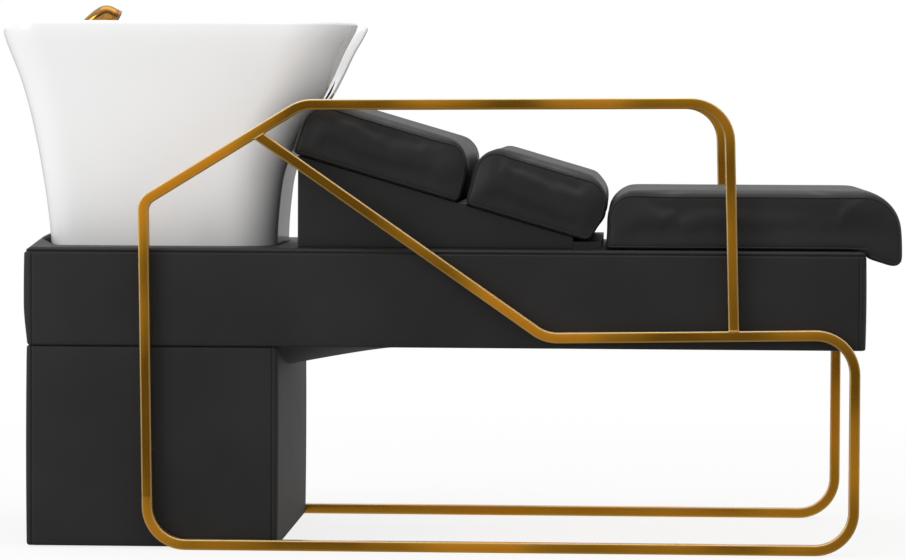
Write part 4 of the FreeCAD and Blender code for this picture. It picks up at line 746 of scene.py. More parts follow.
class Basin:
    """The basin's shape as functions of height and of a place round its outline."""

    def __init__(self):
        lo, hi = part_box("basin")
        self.lo, self.hi = lo, hi
        self.rim = hi.z
        self.deck = hi.z - DECK_DEPTH
        self.floor = hi.z - BOWL_DEPTH
        self.notch = hi.z - NOTCH_DEPTH
        drain_lo, drain_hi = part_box("drain_flange")
        self.drain_x = (drain_lo.x + drain_hi.x) / 2
        back = self.skirt(np.array(self.deck), RIM_WIDTH)[0]
        self.deck_front = float(back) + DECK_LENGTH
        self.split = self.deck_front + BOWL_RADIUS
        self.rim_height = self.rim_line()

    def skirt(self, z, inset):
        """Back, front, half width and corner radii of the flared body at a height, drawn in by inset.
        Its back and sides flare together and its front by itself."""
        share = (z - self.lo.z) / (self.rim - self.lo.z)
        out, front_out = flare(share, 1), flare(share, 2)
        swell = FOOT_RADIUS_SHARE + (1 - FOOT_RADIUS_SHARE) * out
        fuller = FRONT_FULLNESS * smooth((z - FULL_FROM) / FULL_RISE)
        back = self.lo.x + FLARE_BACK * (1 - out)
        front = self.hi.x - FLARE_FRONT * (1 - front_out) + fuller
        half = self.hi.y - FLARE_SIDE * (1 - out)
        return (back + inset, front - inset, half - inset,
                SKIRT_BACK_RADIUS * swell - inset, SKIRT_FRONT_RADIUS * swell - inset)

    def bowl(self, z, grow):
        """The same for the bowl, grown by grow: a quarter ellipse of height from its floor to the
        deck."""
        _, recess_front, recess_half, _, _ = self.skirt(np.array(self.deck), RIM_WIDTH)
        share = np.clip((z - self.floor + grow) / (self.deck - self.floor + grow), 0, 1)
        spread = np.sqrt(1 - (1 - share) ** 2)
        floor_back = self.drain_x - BOWL_FLOOR_LENGTH / 2
        floor_front = self.drain_x + BOWL_FLOOR_LENGTH / 2
        back = floor_back + (self.deck_front - floor_back) * spread - grow
        front = floor_front + (recess_front - floor_front) * spread + grow
        half = BOWL_FLOOR_WIDTH / 2 + (recess_half - BOWL_FLOOR_WIDTH / 2) * spread + grow
        radius = np.full_like(back, BOWL_RADIUS)
        return back, front, half, radius, radius

    def ring(self, outline):
        """Rounded rectangle round the basin: from mid back along the side to mid front, then the
        mirror of that. The place round it runs by length within four stretches, so that the same
        places on two levels lie side by side. The side's split stays between the two corners."""
        back, front, half, back_radius, front_radius = (np.asarray(v, float)[..., None] for v in outline)
        split = np.clip(self.split, back + back_radius, front - front_radius)
        quarter = math.pi / 2
        flat, arc = half - back_radius, back_radius * quarter
        run = flat + arc + np.maximum(split - back - back_radius, 0)
        gone = ramp(BACK_PLACES + 1)[:-1] * run
        angle = np.clip((gone - flat) / back_radius, 0, quarter)
        back_x = back + back_radius * (1 - np.cos(angle)) + np.maximum(gone - flat - arc, 0)
        back_y = np.clip(gone, 0, flat) + back_radius * np.sin(angle)
        side_x = split + (front - front_radius - split) * ramp(SIDE_PLACES + 1)[:-1]
        side_y = half + 0 * side_x
        turn = ramp(CORNER_PLACES + 1)[:-1] * quarter
        corner_x = front - front_radius + front_radius * np.sin(turn)
        corner_y = half - front_radius + front_radius * np.cos(turn)
        front_y = (half - front_radius) * self.front_shares()
        front_x = front + 0 * front_y
        x = np.concatenate([back_x, side_x, corner_x, front_x], -1)
        y = np.concatenate([back_y, side_y, corner_y, front_y], -1)
        x = np.concatenate([x, x[..., -2:0:-1]], -1)
        y = np.concatenate([y, -y[..., -2:0:-1]], -1)
        return x, y

    def front_shares(self):
        """Places along half of the front, from the corner's end to the middle."""
        return 1 - ramp(FRONT_PLACES)

    def rim_line(self):
        """Height of the rim round the outline: level, but for the rounded trough of the neck notch.
        Where the trough's side crosses a level is found level by level, then softened."""
        z = np.linspace(self.notch, self.rim, NOTCH_LEVELS)
        low, high = NOTCH_HALF, NOTCH_HALF + NOTCH_FLARE
        side = low + (high - low) * (z - self.notch) / (self.rim - self.notch)
        lean = math.atan2(high - low, self.rim - self.notch)
        cut = NOTCH_RADIUS * math.tan((math.pi / 2 - lean) / 2)
        drop = np.clip(NOTCH_RADIUS - (z - self.notch), 0, NOTCH_RADIUS)
        arc = low - cut + np.sqrt(np.maximum(NOTCH_RADIUS ** 2 - drop ** 2, 0))
        side = np.minimum(side, arc)
        _, _, half, _, radius = self.skirt(z, 0)
        share = side / (half - radius)
        places = ramp(NOTCH_PLACES)
        height = np.interp(places, share, z, left=self.notch, right=self.rim)
        height[places > share.max()] = self.rim
        spread = NOTCH_SOFTNESS / float(half[-1] - radius[-1]) * NOTCH_PLACES
        window = np.exp(-0.5 * (np.arange(-SOFT_REACH, SOFT_REACH + 1) / spread) ** 2)
        padded = np.concatenate([height[SOFT_REACH:0:-1], height, np.full(SOFT_REACH, self.rim)])
        height = np.convolve(padded, window / window.sum(), "valid")
        front = np.interp(self.front_shares(), places, height)
        level = np.full(BACK_PLACES + SIDE_PLACES + CORNER_PLACES, self.rim)
        half_ring = np.concatenate([level, front])
        return np.concatenate([half_ring, half_ring[-2:0:-1]])

    def lowered(self, z):
        """Levels of the skirt where the notch lowers its top: squeezed between a fixed level and the
        rim."""
        base = self.notch - NOTCH_BLEND
        squeeze = (self.rim_height - base) / (self.rim - base)
        return np.where(z[:, None] > base, base + (z[:, None] - base) * squeeze, z[:, None])

    def points(self, outline, z):
        """Rows of points round the basin, with a height and its outline's sizes for each place."""
        x, y = self.ring(outline)
        places = np.broadcast_to(np.arange(z.shape[-1]), z.shape)[..., None]
        x = np.take_along_axis(x, places, -1)[..., 0]
        y = np.take_along_axis(y, places, -1)[..., 0]
        return np.stack([x, y, z], -1)

    def outer(self, z, inset=0.0):
        """Points on the flared body, drawn in by inset."""
        return self.points(self.skirt(z, inset), z)

    def inner(self, z):
        """Points of the recess above the deck and of the bowl below it."""
        low = np.minimum(z, self.deck)
        return np.where((z < self.deck)[..., None], self.points(self.bowl(low, 0.0), low),
                        self.outer(z, RIM_WIDTH))


def lip_points(basin, skirt_top, start_z, roll):
    """Rounded rim: cubic curves that go on from the skirt and come down on the recess, along both
    walls' slopes at the height where they end."""
    recess_top = basin.inner(start_z[None])[0]
    below = (start_z - RIM_SLOPE_STEP)[None]
    skirt_handle = skirt_top + unit(skirt_top - basin.outer(below)[0]) * roll / CUBIC_RISE_SHARE
    recess_handle = recess_top + unit(recess_top - basin.inner(below)[0]) * roll / CUBIC_RISE_SHARE
    t = ramp(LIP_ROWS)[1:-1, None, None]
    return ((1 - t) ** 3 * skirt_top + 3 * (1 - t) ** 2 * t * skirt_handle
            + 3 * (1 - t) * t ** 2 * recess_handle + t ** 3 * recess_top)


def deck_points(basin, start_z, fillet):
    """Recess wall, its rounded foot, the deck and the rounded edge to the bowl, with the heights where
    the bowl starts. Where the deck is too narrow for its roundings they fall together."""
    deck_z = np.full((1, len(start_z)), basin.deck)
    outside, inside = basin.outer(deck_z, RIM_WIDTH)[0], basin.points(basin.bowl(deck_z, 0.0), deck_z)[0]
    width = np.linalg.norm(inside - outside, axis=-1, keepdims=True)
    way = (inside - outside) / np.maximum(width, MERGE)
    soft = np.minimum(fillet, width * FILLET_SHARE)
    soft = np.where(soft < LEAST_FILLET, 0.0, soft)
    flat_soft = soft[:, 0]
    low_end = np.minimum(basin.deck + flat_soft, start_z)
    share = ramp(RECESS_ROWS)[:, None]
    recess = basin.inner(start_z * (1 - share) + low_end * share)
    turn = (ramp(FILLET_ROWS)[1:] * math.pi / 2)[:, None]
    sine, cosine = np.sin(turn), np.cos(turn)
    foot = np.where(soft > 0, outside + way * soft * (1 - cosine[..., None]), recess[-1])
    foot[..., 2] = np.where(flat_soft > 0, basin.deck + flat_soft * (1 - sine), low_end)
    across = soft + (width - 2 * soft) * ramp(DECK_ROWS)[1:-1, None, None]
    deck = np.where(soft > 0, outside + way * across, recess[-1])
    edge = np.where(soft > 0, inside - way * soft * (1 - sine[..., None]), recess[-1])
    edge[..., 2] = np.where(flat_soft > 0, basin.deck - flat_soft * (1 - cosine), low_end)
    bowl_top = np.where(flat_soft > 0, basin.deck - flat_soft, np.minimum(low_end, basin.deck))
    return [recess, foot, deck, edge], bowl_top


def bowl_points(basin, bowl_top):
    """Bowl, its floor as far as the waste hole, and the lower edge of the hole."""
    fall = ramp(BOWL_ROWS)[1:, None] ** BOWL_ROW_POWER
    z = bowl_top + (basin.floor - bowl_top) * fall
    bowl = basin.points(basin.bowl(z, 0.0), z)
    centre = np.array([basin.drain_x, 0.0, basin.floor])
    hole = centre + unit(bowl[-1] - centre) * DRAIN_RADIUS
    floor = bowl[-1] + (hole - bowl[-1]) * ramp(FLOOR_ROWS)[1:, None, None]
    return [bowl, floor, (hole - np.array([0, 0, CERAMIC]))[None]]


def lining_points(basin, start_z):
    """Underside of the bowl, kept inside the skirt, and the inner face of the skirt below it."""
    low = basin.floor - CERAMIC
    high = np.minimum(basin.deck - CERAMIC, start_z - 2 * CERAMIC)
    z = low + (high - low) * ramp(UNDER_ROWS)[:, None]
    back, front, half, back_radius, front_radius = basin.bowl(z, CERAMIC)
    skirt_back, skirt_front, skirt_half, _, _ = basin.skirt(z, CERAMIC)
    outline = (np.maximum(back, skirt_back + UNDER_ROOM), np.minimum(front, skirt_front - UNDER_ROOM),
               np.minimum(half, skirt_half - UNDER_ROOM), back_radius, front_radius)
    lining_z = z[-1] + (basin.lo.z - z[-1]) * ramp(LINING_ROWS)[:, None]
    return [basin.points(outline, z), basin.outer(lining_z, CERAMIC)]


def basin_points():
    """One closed sheet of ceramic: up the skirt, over the rim, down to the deck and the bowl, through
    the waste hole and back up under the bowl and down inside the skirt."""
    basin = Basin()
    sizes = bpy.context.scene.bed_sizes
    roll = sizes.rim_roll
    start_z = basin.rim_height - roll
    rising = ramp(SKIRT_ROWS)
    skirt_z = basin.lowered(basin.lo.z + (basin.rim - basin.lo.z) * rising)
    skirt = basin.outer(skirt_z - roll * rising[:, None] ** ROLL_POWER)
    deck, bowl_top = deck_points(basin, start_z, sizes.deck_fillet)
    sheet = [skirt, lip_points(basin, skirt[-1], start_z, roll)]
    return np.concatenate(sheet + deck + bowl_points(basin, bowl_top) + lining_points(basin, start_z))


class BED_OT_basin(bpy.types.Operator):
    """Flared ceramic basin with its rim, tap deck, bowl and neck notch, as one glazed sheet"""

    bl_idname = "bed.basin"
    bl_label = "Basin"

    def execute(self, context):
        shell = surface("basin_glazed", basin_points(), close_rows=True, close_cols=True, crease=60.0)
        wear(shell, "basin", "white_ceramic", "basin")
        return {"FINISHED"}


# Cushions

OUTLINE_STEP, WELT_LINE_STEP, WELT_STEP = 12 * MM, 8 * MM, 4 * MM
ROWS_ACROSS, EDGE_ROWS, END_ROWS, WELT_EASINGS = 25, 9, 12, 3
BASE_DRAW = 3 * MM
END_SWELL, START_SLACK_SHARE, WELT_LIFT_SHARE = 1 * MM, 0.6, 0.2
PRESSURE, FRAMES = 4.0, 20
FIRM_HEIGHT = 45 * MM
SLOPE_EDGE, SLOPE_CROWN = 5 * MM, 2 * MM
SHOULDER_LENGTH, SHOULDER_THICKNESS = 319 * MM, 103 * MM
SHOULDER_SHARES = (
    (0.006, 0.0, 0.02), (0.0, 1.0, 0.46), (0.965, 1.0, 0.36), (1.0, 0.42, 0.60), (0.995, 0.0, 0.10),
)
BACK_START, BACK_LENGTH, BACK_THICKNESS = 323 * MM, 253 * MM, 112 * MM
BACK_SHARES = (
    (0.02, 0.0, 0.10), (0.0, 0.45, 0.60), (0.01, 1.0, 0.36), (0.998, 1.0, 0.38), (1.015, 0.42, 0.60),
    (0.945, 0.0, 0.12),
)
SEAT_EDGE, SEAT_CROWN = 7 * MM, 3 * MM
SEAT_THICKNESS, SEAT_HEAD_ROUND, SEAT_FOOT_ROUND = 103 * MM, 46 * MM, 70 * MM
SEAT_LIP, SEAT_LIP_ROUND, SEAT_HEEL, SEAT_HEEL_ROUND = 33 * MM, 15 * MM, 13 * MM, 6 * MM
SEAT_BACK_ROUND, SEAT_INNER_ROUND, SEAT_GAP, SEAT_LIP_GAP = 4 * MM, 2 * MM, 0.3 * MM, 1 * MM
INCLINE_RUN, INCLINE_DROP = 511.5 * MM, 149.4 * MM
INCLINE = math.atan2(INCLINE_DROP, INCLINE_RUN)
INCLINE_X, INCLINE_Z = -282 * MM, 718 * MM


def side_rows(half, edge):
    """Place across the bed and inset of each row of a cushion: a quarter turn of radius edge at both
    ends, and even rows between."""
    turn = ramp(EDGE_ROWS) * math.pi / 2
    y = half - edge + edge * np.sin(turn)
    inset = edge * (1 - np.cos(turn))
    flat = np.linspace(-(half - edge), half - edge, ROWS_ACROSS)[1:-1]
    return np.concatenate([-y[::-1], flat, y]), np.concatenate([inset[::-1], 0 * flat, inset])


def side_insets(corners, inset):
    """Insets of an outline's sides: the level side that the cushion rests on is drawn in less."""
    base = corners[0][1]
    sides = zip(corners, corners[1:] + corners[:1])
    rests = [abs(a[1] - base) + abs(b[1] - base) < MERGE for a, b in sides]
    return np.where(rests, min(inset, BASE_DRAW), inset)


def carried_across(name, corners, half, edge, crown, bulge, lift):
    """Closed body: its side outline carried across the bed, drawn in round both ends, with a crown
    on top that grows with the cube of the height and falls off as a parabola towards the ends. The
    ends are closed by the outline shrinking to a point, and swell by bulge. lift places a point of
    the outline (u, v) in the frame."""
    y, inset = side_rows(half, edge)
    rows = [rounded_outline(corners, side_insets(corners, i), OUTLINE_STEP) for i in inset]
    u = np.array([row[:, 0] for row in rows])
    v = np.array([row[:, 1] for row in rows])
    middle = np.array([u.mean(), v.mean()])
    height = (v - v.min()) / (v.max() - v.min())
    v = v + crown * np.clip(height, 0, 1) ** 3 * (1 - (y[:, None] / half) ** 2)
    shrink = 1 - ramp(END_ROWS)[1:]
    ends = []
    for row, sign in ((0, -1), (-1, 1)):
        cu, cv = u[row], v[row]
        eu = middle[0] + (cu - middle[0]) * shrink[:, None]
        ev = middle[1] + (cv - middle[1]) * shrink[:, None]
        ey = y[row] + sign * bulge * (1 - shrink[:, None] ** 2) + 0 * eu
        ends.append((eu, ev, ey))
    u = np.concatenate([ends[0][0][::-1], u, ends[1][0]])
    v = np.concatenate([ends[0][1][::-1], v, ends[1][1]])
    y = np.concatenate([ends[0][2][::-1], y[:, None] + 0 * rows[0][:, 0], ends[1][2]])
    return surface(name, lift(u, v, y), close_cols=True)


def inflate(pad, voxel, cap, height):
    """Remeshes a cushion evenly, blows it up as cloth, limits how far each point moved, less and less
    towards the base that it rests on, and gives one subdivision. height gives how high points lie
    above that base."""
    scene = bpy.context.scene
    remesh = pad.modifiers.new("even", "REMESH")
    remesh.mode, remesh.voxel_size = "VOXEL", voxel
    bpy.context.view_layer.update()
    even = bpy.data.meshes.new_from_object(pad.evaluated_get(bpy.context.evaluated_depsgraph_get()))
    pad.modifiers.clear()
    old, pad.data = pad.data, even
    bpy.data.meshes.remove(old)
    count = len(even.vertices)
    start = np.empty(count * 3)
    even.vertices.foreach_get("co", start)
    cloth = pad.modifiers.new("cloth", "CLOTH")
    cloth.settings.use_pressure = True
    cloth.settings.uniform_pressure_force = PRESSURE
    cloth.settings.effector_weights.gravity = 0.0
    cloth.collision_settings.use_collision = False
    cloth.point_cache.frame_start, cloth.point_cache.frame_end = 1, FRAMES
    for step in range(1, FRAMES + 1):
        scene.frame_set(step)
    blown = pad.evaluated_get(bpy.context.evaluated_depsgraph_get()).to_mesh()
    end = np.empty(count * 3)
    blown.vertices.foreach_get("co", end)
    move = (end - start).reshape(-1, 3)
    size = np.linalg.norm(move, axis=1, keepdims=True)
    reach = cap * smooth(height(start.reshape(-1, 3)) / FIRM_HEIGHT)[:, None]
    move *= np.minimum(1, reach / np.maximum(size, MERGE))
    pad.modifiers.clear()
    scene.frame_set(1)
    even.vertices.foreach_set("co", (start.reshape(-1, 3) + move).reshape(-1))
    evened = pad.modifiers.new("evened", "SMOOTH")
    evened.factor, evened.iterations = 0.5, 6
    finer = pad.modifiers.new("finer", "SUBSURF")
    finer.levels = finer.render_levels = 1
    for face in even.polygons:
        face.use_smooth = True


def on_incline(u, v, y):
    """Place of a point u down the incline and v out from it."""
    x = INCLINE_X + u * math.cos(INCLINE) + v * math.sin(INCLINE)
    z = INCLINE_Z - u * math.sin(INCLINE) + v * math.cos(INCLINE)
    return np.stack(np.broadcast_arrays(x, y, z), -1)


def upright(u, v, y):
    """Place of a point u along the bed and v high."""
    return np.stack(np.broadcast_arrays(u, y, v), -1)


def cushion_plans():
    """Name, outline, half width, edge, crown and placing of each cushion, a little smaller than its
    solid, which the inflating makes up."""
    lo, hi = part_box("seat_cushion")
    _, box_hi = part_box("box_cover")
    base = box_hi.z + SEAT_GAP
    lip_x = box_hi.x + SEAT_LIP_GAP
    seat = [
        (lo.x, base, SEAT_BACK_ROUND),
        (lo.x, base + SEAT_THICKNESS, SEAT_HEAD_ROUND),
        (hi.x, base + SEAT_THICKNESS, SEAT_FOOT_ROUND),
        (hi.x, base - SEAT_LIP, SEAT_LIP_ROUND),
        (lip_x, base - SEAT_HEEL, SEAT_HEEL_ROUND),
        (lip_x, base, SEAT_INNER_ROUND),
    ]
    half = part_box("shoulder_cushion")[1].y

    def sloped(shares, start, length, thickness):
        return [(start + u * length, v * thickness, r * thickness) for u, v, r in shares]

    shoulder = sloped(SHOULDER_SHARES, 0, SHOULDER_LENGTH, SHOULDER_THICKNESS)
    back = sloped(BACK_SHARES, BACK_START, BACK_LENGTH, BACK_THICKNESS)
    return (
        ("shoulder_cushion", shoulder, half, SLOPE_EDGE, SLOPE_CROWN, on_incline),
        ("back_cushion", back, half, SLOPE_EDGE, SLOPE_CROWN, on_incline),
        ("seat_cushion", seat, hi.y, SEAT_EDGE, SEAT_CROWN, upright),
    )


def welts(pad, node, corners, half, edge, lift):
    """Sewn welt round both side panels of a cushion, laid on the finished cover."""
    sizes = bpy.context.scene.bed_sizes
    u, v = rounded_outline(corners, side_insets(corners, 0.5 * edge), WELT_LINE_STEP).T
    for side, y in (("right", -half), ("left", half)):
        line = nearest(pad, lift(u, v, y + 0 * u), WELT_LIFT_SHARE * sizes.welt)
        for _ in range(WELT_EASINGS):
            line = (np.roll(line, 1, 0) + 2 * line + np.roll(line, -1, 0)) / 4
        cord = ring_cord(f"{node}_welt_{side}", evenly_spaced(line, WELT_STEP), sizes.welt)
        wear(cord, "root", "black_leatherette")


class BED_OT_cushions(bpy.types.Operator):
    """Shoulder, back and seat cushions, inflated as cloth, with their sewn welts"""

    bl_idname = "bed.cushions"
    bl_label = "Cushions"

    def execute(self, context):
        sizes = context.scene.bed_sizes
        for node, corners, half, edge, crown, lift in cushion_plans():
            slack = START_SLACK_SHARE * sizes.swell
            pad = carried_across(node + "_cover", corners, half - slack, edge, crown, END_SWELL, lift)
            foot = lift(0.0, corners[0][1], 0.0)
            up = lift(0.0, corners[0][1] + 1.0, 0.0) - foot
            inflate(pad, sizes.voxel, sizes.swell, lambda points: (points - foot) @ up)
            wear(pad, "root", "black_leatherette", node)
            welts(pad, node, corners, half, edge, lift)
        return {"FINISHED"}


# Covers of the box, the plinth and the wedge

BOX_CORNER, BOX_EDGE, BOX_FOOT = 12 * MM, 7 * MM, 4 * MM
BOX_SEAM_DROP = 8.5 * MM
WELL_CLEARANCE, WELL_EDGE, WELL_DEPTH, WELL_SKIN = 13 * MM, 3 * MM, 24 * MM, 0.6 * MM
PADDING = 6 * MM
BACK_TAPER, BACK_TAPER_HEIGHT, BACK_LEAN, BACK_SWELL = 2.4 * MM, 76 * MM, 5 * MM, 3 * MM
ARCH_HALF, ARCH_RUN, ARCH_START = 298 * MM, 36 * MM, 14 * MM
PLINTH_CORNER, PLINTH_EDGE, PLINTH_FOOT, PLINTH_HEM = 10 * MM, 6 * MM, 5 * MM, 8 * MM
PLINTH_GAP = 2.5 * MM
PANEL_CLEARANCE = 2 * MM
SIDE_SWELL = 1.2 * MM
SEAM_REACH, SEAM_ROWS = 2.5, 11
TURN_ROWS, SIDE_ROWS, TOP_ROWS, KEEL_ROWS, KEEL_PLACES = 6, 24, 9, 40, 61
WEDGE_PROUD, WEDGE_EDGE, WEDGE_LIFT = 0.8 * MM, 3 * MM, 0.2 * MM
WEDGE_ROUND, WEDGE_CREST_ROUND = 1 * MM, 2 * MM
KEEL_POWER, KEEL_END = 1.15, 3 * MM


def quarter_turn():
    """Sine and cosine of even steps of a quarter turn."""
    turn = ramp(TURN_ROWS) * math.pi / 2
    return np.sin(turn), np.cos(turn)


def groove(gap):
    """Depth of a sewn seam at a distance from it: a bell curve."""
    sizes = bpy.context.scene.bed_sizes
    return sizes.seam_depth * np.exp(-(gap / sizes.seam_width) ** 2)


def side_profile(z0, z1, foot, edge, stations=()):
    """Heights up a cover's side and how far it stands out there: a rounded foot, a slight swell that
    is a parabola of the height, and a rolled top edge. It has a row at each of the stations."""
    sine, cosine = quarter_turn()
    flat = np.unique(np.concatenate([np.linspace(z0 + foot, z1 - edge, SIDE_ROWS)[1:-1], stations]))
    share = (flat - z0) / (z1 - z0)
    swell = SIDE_SWELL * 4 * share * (1 - share)
    z = np.concatenate([z0 + foot * (1 - cosine), flat, z1 - edge + edge * sine])
    return z, np.concatenate([-foot * (1 - sine), swell, -edge * (1 - cosine)])


def corner_grooves(ring, radius):
    """Grooves of the upright seams, where the corners of a rounded plan meet its long sides."""
    x0, x1, half = ring[:, 0].min(), ring[:, 0].max(), ring[:, 1].max()
    places = np.array([(x, y) for x in (x0 + radius, x1 - radius) for y in (-half, half)])
    return groove(np.linalg.norm(ring[:, None] - places[None], axis=-1)).sum(1)


def box_cover_points():
    """Closed leatherette shell of the box: up its side, over the top, down into the basin's well and
    back along the boards. The back tapers in at its foot with the square of the height, swells above
    that, and rises to a parabolic arch mid way across."""
    lo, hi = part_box("box_cover")
    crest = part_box("back_roll")[1]
    skirt = Basin().skirt(np.array(hi.z), 0.0)
    _, front, half, back_radius, front_radius = (float(size) for size in skirt)
    well_front = front - FRONT_FULLNESS + WELL_CLEARANCE
    well = plan(crest.x, well_front, half + WELL_CLEARANCE, back_radius, front_radius)
    outer = plan(lo.x, hi.x, hi.y, BOX_CORNER, BOX_CORNER)
    centre = ((crest.x + front) / 2, 0.0)
    outer, well = matched(centre, outer, well)
    seam = hi.z - BOX_SEAM_DROP
    reach = SEAM_REACH * bpy.context.scene.bed_sizes.seam_width
    beside = np.linspace(seam - reach, seam + reach, SEAM_ROWS)
    z, out = side_profile(lo.z, hi.z, BOX_FOOT, BOX_EDGE, beside)
    out = out - groove(z - seam)
    below = np.clip((seam - z) / BOX_SEAM_DROP, 0, 1)
    sunk = out[:, None] - corner_grooves(outer, BOX_CORNER) * below[:, None]
    side = levels(outer, sunk, z)
    back = np.clip(-outward(outer)[:, 0], 0, 1)
    taper = BACK_TAPER * np.clip(1 - (z - lo.z) / BACK_TAPER_HEIGHT, 0, 1) ** 2
    lean = BACK_LEAN * np.clip((z - hi.z + ARCH_START) / ARCH_START, 0, 1) ** 2
    swell = BACK_SWELL * smooth((z - lo.z) / BACK_TAPER_HEIGHT) * smooth((hi.z - z) / ARCH_START)
    side[..., 0] += (taper + lean - swell)[:, None] * back
    sine, cosine = quarter_turn()
    lip = levels(well, WELL_EDGE * (1 - sine) - WELL_SKIN * sine, hi.z - WELL_EDGE * (1 - cosine))
    share = ramp(TOP_ROWS)[1:-1, None, None]
    top = side[-1] * (1 - share) + lip[0] * share
    low = hi.z - WELL_DEPTH
    board_top = hi.z - PADDING
    wall = levels(well, (-WELL_SKIN, MM, MM), (low, low, board_top))
    lining = levels(outer, (-PADDING, -PADDING), (board_top, lo.z))
    points = np.concatenate([side, top, lip, wall, lining])
    x, y, height = points[..., 0], points[..., 1], points[..., 2]
    arch = (crest.z - hi.z) * np.clip(1 - (y / ARCH_HALF) ** 2, 0, 1)
    at_back = 1 - smooth((x - crest.x) / ARCH_RUN)
    at_top = smooth((height - hi.z + ARCH_START) / ARCH_START)
    points[..., 2] += arch * at_back * at_top
    return points


def plinth_cover():
    """Leatherette of the plinth, with the window of its service panel in the back."""
    lo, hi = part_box("plinth_cover")
    panel_lo, panel_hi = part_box("service_panel")
    wide = panel_hi.y + PANEL_CLEARANCE
    sill, head = panel_lo.z - PANEL_CLEARANCE, panel_hi.z + PANEL_CLEARANCE
    ring = plan(lo.x, hi.x, hi.y, PLINTH_CORNER, PLINTH_CORNER)
    at_back = ring[:, 0] < lo.x + MERGE
    for y in (-wide, wide):
        ring[np.argmin(np.abs(ring[:, 1] - y) + ~at_back), 1] = y
    z, out = side_profile(PLINTH_GAP, hi.z, PLINTH_FOOT, PLINTH_EDGE, (sill, head))
    sides = levels(ring, out[:, None] - corner_grooves(ring, PLINTH_CORNER)[None], z)
    hem = levels(ring, (-PLINTH_HEM,), (PLINTH_GAP,))
    rim = levels(ring, (-PLINTH_HEM,), (hi.z,))
    points = np.concatenate([hem, sides, rim])
    high = np.concatenate([z[:1], z, [hi.z]])[:, None]
    inside = at_back & (np.abs(ring[:, 1]) <= wide + MERGE)
    opening = inside[None] & (high >= sill - MERGE) & (high <= head + MERGE)
    cover = surface("plinth_leatherette", points, close_cols=True, opening=opening)
    wall = cover.modifiers.new("padding", "SOLIDIFY")
    wall.thickness, wall.offset = PADDING - WELL_EDGE, -1.0
    return cover


def wedge_cover():
    """Leatherette of the wedge, from the box up to the incline that the back cushions lie on."""
    lo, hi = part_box("wedge_cover")
    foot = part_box("wedge_base_board")[0].z + WEDGE_LIFT
    tip = hi.z - (hi.x - lo.x) * math.tan(INCLINE)
    corners = [
        (lo.x - WEDGE_PROUD, foot, WEDGE_ROUND),
        (hi.x + WEDGE_PROUD, foot, WEDGE_ROUND),
        (hi.x + WEDGE_PROUD, tip, WEDGE_ROUND),
        (lo.x - WEDGE_PROUD, hi.z, WEDGE_CREST_ROUND),
    ]
    half = hi.y + WEDGE_PROUD
    return carried_across("wedge_leatherette", corners, half, WEDGE_EDGE, 0.0, 0.0, upright)


def belly_points():
    """Fairing under the box: across the bed, arcs of the circle through both edges and the keel. From
    the plinth to the box the keel's depth falls as a power of the way left."""
    lo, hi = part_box("belly_fairing")
    share = ramp(KEEL_ROWS)
    depth = KEEL_END + (hi.z - lo.z - KEEL_END) * (1 - share) ** KEEL_POWER
    across = np.linspace(-1, 1, KEEL_PLACES)
    radius = (hi.y ** 2 + depth ** 2) / (2 * depth)
    y = hi.y * across
    arc = np.sqrt(radius[:, None] ** 2 - y ** 2) - (radius - depth)[:, None]
    x = lo.x + (hi.x - lo.x) * share
    keel = np.stack(np.broadcast_arrays(x[:, None], y[None], hi.z - arc), -1)
    roof = keel[:, ::-1].copy()
    roof[..., 2] = hi.z
    ring = np.concatenate([keel, roof[:, 1:-1]], 1)
    middle = ring[[0, -1]].mean(1, keepdims=True) + 0 * ring[[0, -1]]
    return np.concatenate([middle[:1], ring, middle[1:]])


class BED_OT_covers(bpy.types.Operator):
    """Leatherette over the box, the plinth, the wedge and the belly, with rolled edges and seams"""

    bl_idname = "bed.covers"
    bl_label = "Covers"

    def execute(self, context):
        box = surface("box_leatherette", box_cover_points(), close_rows=True, close_cols=True)
        belly = surface("belly_leatherette", belly_points(), close_cols=True)
        for piece, *nodes in ((box, "box_cover", "back_roll"), (plinth_cover(), "plinth_cover"),
                              (wedge_cover(), "wedge_cover"), (belly, "belly_fairing")):
            wear(piece, "root", "black_leatherette", *nodes)
        return {"FINISHED"}


# Mixer and spray

SPRAY_LEAN = math.radians(62)
SPRAY_HEEL, SPRAY_GRIP, SPRAY_BEND, SPRAY_HEAD = 9 * MM, 11 * MM, 15.5 * MM, 13.5 * MM
SPRAY_CUP_RUN, SPRAY_CUP_BEND = 40 * MM, 60 * MM
SPRAY_BEND_OFF = (60.5 * MM, 66 * MM)
SPRAY_TIP_OFF = (83 * MM, 53.5 * MM)
SPRAY_TURN, SPRAY_ROWS = 15 * MM, 160
SWELL_SHARES = (0, 0.25, 0.62, 0.84, 1.0)
SWELL_SOFTNESS = 8
SPRAY_RIBS = 3
RIB_STEP, RIB_RISE = 4.2 * MM, 1.5 * MM
ROSE_MARGIN, JETS_PER_RING = 2.5 * MM, 6
ROSE_ROWS, ROSE_PLACES = 60, 72
ROSE_RECESS, ROSE_DOME, JET, JET_STEP = 1.5 * MM, 0.8 * MM, 0.9 * MM, 3.2 * MM


def spray_line():
    """Centre line of the hand spray, from its heel in the holder over the bend to its face, with the
    length along it at each point."""
    lo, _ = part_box("hand_spray")
    way = np.array([math.cos(SPRAY_LEAN), math.sin(SPRAY_LEAN)])
    heel = np.array([lo.x, lo.z]) + SPRAY_HEEL * way[::-1]
    cup, bend, tip = heel + way * SPRAY_CUP_RUN, heel + SPRAY_BEND_OFF, heel + SPRAY_TIP_OFF
    line = rounded_path([(*heel, 0), (*cup, SPRAY_CUP_BEND), (*bend, SPRAY_TURN), (*tip, 0)])
    run = lengths(line)
    even = np.linspace(0, run[-1], SPRAY_ROWS)
    return np.stack([np.interp(even, run, line[:, k]) for k in (0, 1)], -1), even


